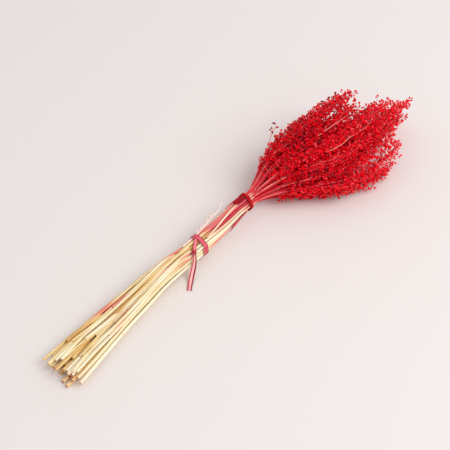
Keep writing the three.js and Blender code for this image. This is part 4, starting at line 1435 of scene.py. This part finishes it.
def lower_tie():
    """The straight turn, the turn that slants to the knot, and the knot."""
    angle = np.linspace(*STRAIGHT_TURN, STRAIGHT_SAMPLES)
    front = np.clip(np.cos(angle - WIDEST_SIDE), 0, 1)
    beside = LOWER_TIE + TURNS_BESIDE + front
    path, outward = round_bunch(beside, angle, GAP + STRAIGHT_CLEAR, STRIP_ROWS, True)
    rows = np.linspace(0, 1, STRIP_ROWS)
    half = np.interp(rows, np.linspace(0, 1, len(angle)), NARROW_BEHIND + WIDENS * front)
    straight = strip(eased(path), eased(outward), half, curl=0.55, dye=0.62, edge_dye=0.86, seed=1)
    angle = np.linspace(KNOT_SIDE + KNOT_AHEAD, KNOT_SIDE + SLANT_TURN, SLANT_SAMPLES)
    gone = gone_along(hull(LOWER_TIE + 0 * angle, angle, GAP, True))
    back = KNOT_BACK * np.clip(1 - gone / SLANT_LENGTH, 0, 1)
    path, outward = round_bunch(LOWER_TIE - back, angle, GAP + SLANT_CLEAR, STRIP_ROWS, True)
    slanted = strip(eased(path), outward, SLANT_HALF, curl=0.5, dye=0.5, edge_dye=0.8, seed=2)
    piece = add_piece("raffia_tie", [straight, slanted, knot()], [RAFFIA])
    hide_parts("lower_tie")


lower_tie()

# The raffia's loose end: the end of the lower tie's strip, cut off square. It leaves the knot, opens out
# flat, drops over the side and lies on the table.
TAIL_ROUTE = np.array([
    (180.55, -20, 22.45), (179.4, -22, 20.3), (178.3, -23.2, 18.2), (176.8, -24.2, 15.8), (175, -25.2, 13),
    (172.8, -26.2, 9.8), (170.4, -27.3, 6.9), (167.9, -28.6, 4.4), (165.4, -30.1, 2.4), (162.8, -31.9, 1.2),
    (160.2, -33.8, 0.7), (157.5, -35.9, 0.65), (154.9, -38, 0.65),
])
TAIL_ROWS = 60
TAIL_STEPS = 8
TAIL_WIDE = 5.0
TAIL_UNDER_ROUTE = 0.35
TAIL_ABOVE_TABLE = 0.2
# It shows its outer side towards this direction, or up where it lies flat.
OVER_THE_SIDE = (0.83, -0.55, 0)
FLAT_FACES_UP = 0.4
# Its width as a share of the full width, and how far its edges curl, at shares of its length.
TAIL_WIDTHS = ((0, 0.12, 0.36, 0.7, 1), (0.5, 0.62, 1.0, 1.0, 0.92))
TAIL_CURLS = ((0, 0.2, 0.5, 1), (1.1, 0.9, 0.7, 0.55))


def smooth_route(points, steps):
    """A smooth curve through the points, with the given number of steps between them."""
    slope = np.gradient(points, axis=0)
    t = np.linspace(0, 1, steps, endpoint=False)[:, None]
    pieces = []
    for a, b, leave, arrive in zip(points, points[1:], slope, slope[1:]):
        pieces.append(
            a * (1 + 2 * t) * (1 - t) ** 2 + b * smooth(t)
            + leave * t * (1 - t) ** 2 - arrive * t * t * (1 - t))
    return np.concatenate(pieces + [points[-1:]])


def tail():
    """The loose end, a flat strip with its edges rolled."""
    path = evenly(smooth_route(TAIL_ROUTE + TO_ROW, TAIL_STEPS), TAIL_ROWS)
    ahead = unit(np.gradient(path, axis=0))
    side = unit(np.cross(np.cross(OVER_THE_SIDE, ahead), ahead))
    outward = np.cross(ahead, side)
    facing = outward @ np.array(OVER_THE_SIDE) + FLAT_FACES_UP * outward[:, 2]
    outward = outward * np.sign(facing)[:, None]
    t = np.linspace(0, 1, len(path))
    path = path - TAIL_UNDER_ROUTE * outward
    path[:, 2] = np.maximum(path[:, 2], TAIL_ABOVE_TABLE)
    half = 0.5 * TAIL_WIDE * np.interp(t, *TAIL_WIDTHS)
    curl = np.interp(t, *TAIL_CURLS)
    part = strip(path, outward, half, curl, dye=0.2, edge_dye=0.92, seed=5, edge_from=0.2)
    piece = add_piece("raffia_tail", [part], [RAFFIA])
    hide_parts("tie_tail")


tail()

# The table top and the light: a pale matt surface, with soft daylight from the right and the front. They
# are the stage, and no part of the bunch.
TABLE_WIDE = 12
WINDOW_WATTS = 45
WINDOW_WIDE = 2.0
WINDOW_PLACE = (0.7, -1.7, 2.1)
DAYLIGHT = 0.69


def table_material():
    """Painted board, matt and nearly white."""
    material, _, shader, _ = new_material("pale_table")
    shader.inputs["Base Color"].default_value = srgb("#eee7e4")
    shader.inputs["Roughness"].default_value = 0.7
    return material


def aim(thing, target):
    """Turns a lamp or camera to look at the target."""
    back = unit(np.array(thing.location) - np.array(target))
    right = unit(np.cross((0, 0, 1), back))
    up = np.cross(back, right)
    thing.rotation_euler = Matrix(np.stack((right, up, back), axis=1).tolist()).to_euler()


bpy.ops.mesh.primitive_plane_add(size=TABLE_WIDE)
table = bpy.context.object
table.name = "table_top"
table.data.materials.append(table_material())

lamp = bpy.data.lights.new("window", "AREA")
lamp.energy = WINDOW_WATTS
lamp.size = WINDOW_WIDE
lamp.color = srgb("#f8fcff")[:3]
window = bpy.data.objects.new("window", lamp)
window.location = WINDOW_PLACE
bpy.context.collection.objects.link(window)
aim(window, (0, 0, 0))

world = bpy.data.worlds.new("daylight")
world.use_nodes = True
world.node_tree.nodes["Background"].inputs["Color"].default_value = srgb("#fdf9f8")
world.node_tree.nodes["Background"].inputs["Strength"].default_value = DAYLIGHT
bpy.context.scene.world = world
bpy.context.scene.view_settings.view_transform = "Standard"

# The camera stands a metre away, at 45 degrees above the table, and looks along the bunch from its cut
# ends, at a point some way short of the neck.
LENS = 50
SENSOR = 24
DISTANCE = 1.0
HEADING = math.radians(46.7)
LOOK_ALONG = 247
LOOK_AT = np.array([(LOOK_ALONG + TO_ROW[0]) / MM_PER_M, TO_ROW[1] / MM_PER_M, 0])
camera = bpy.data.objects.new("camera", bpy.data.cameras.new("camera"))
camera.data.lens = LENS
camera.data.sensor_width = SENSOR
camera.location = LOOK_AT + DISTANCE * math.sqrt(0.5) * np.array([-math.sin(HEADING), -math.cos(HEADING), 1])
bpy.context.collection.objects.link(camera)
aim(camera, LOOK_AT)
bpy.context.scene.camera = camera
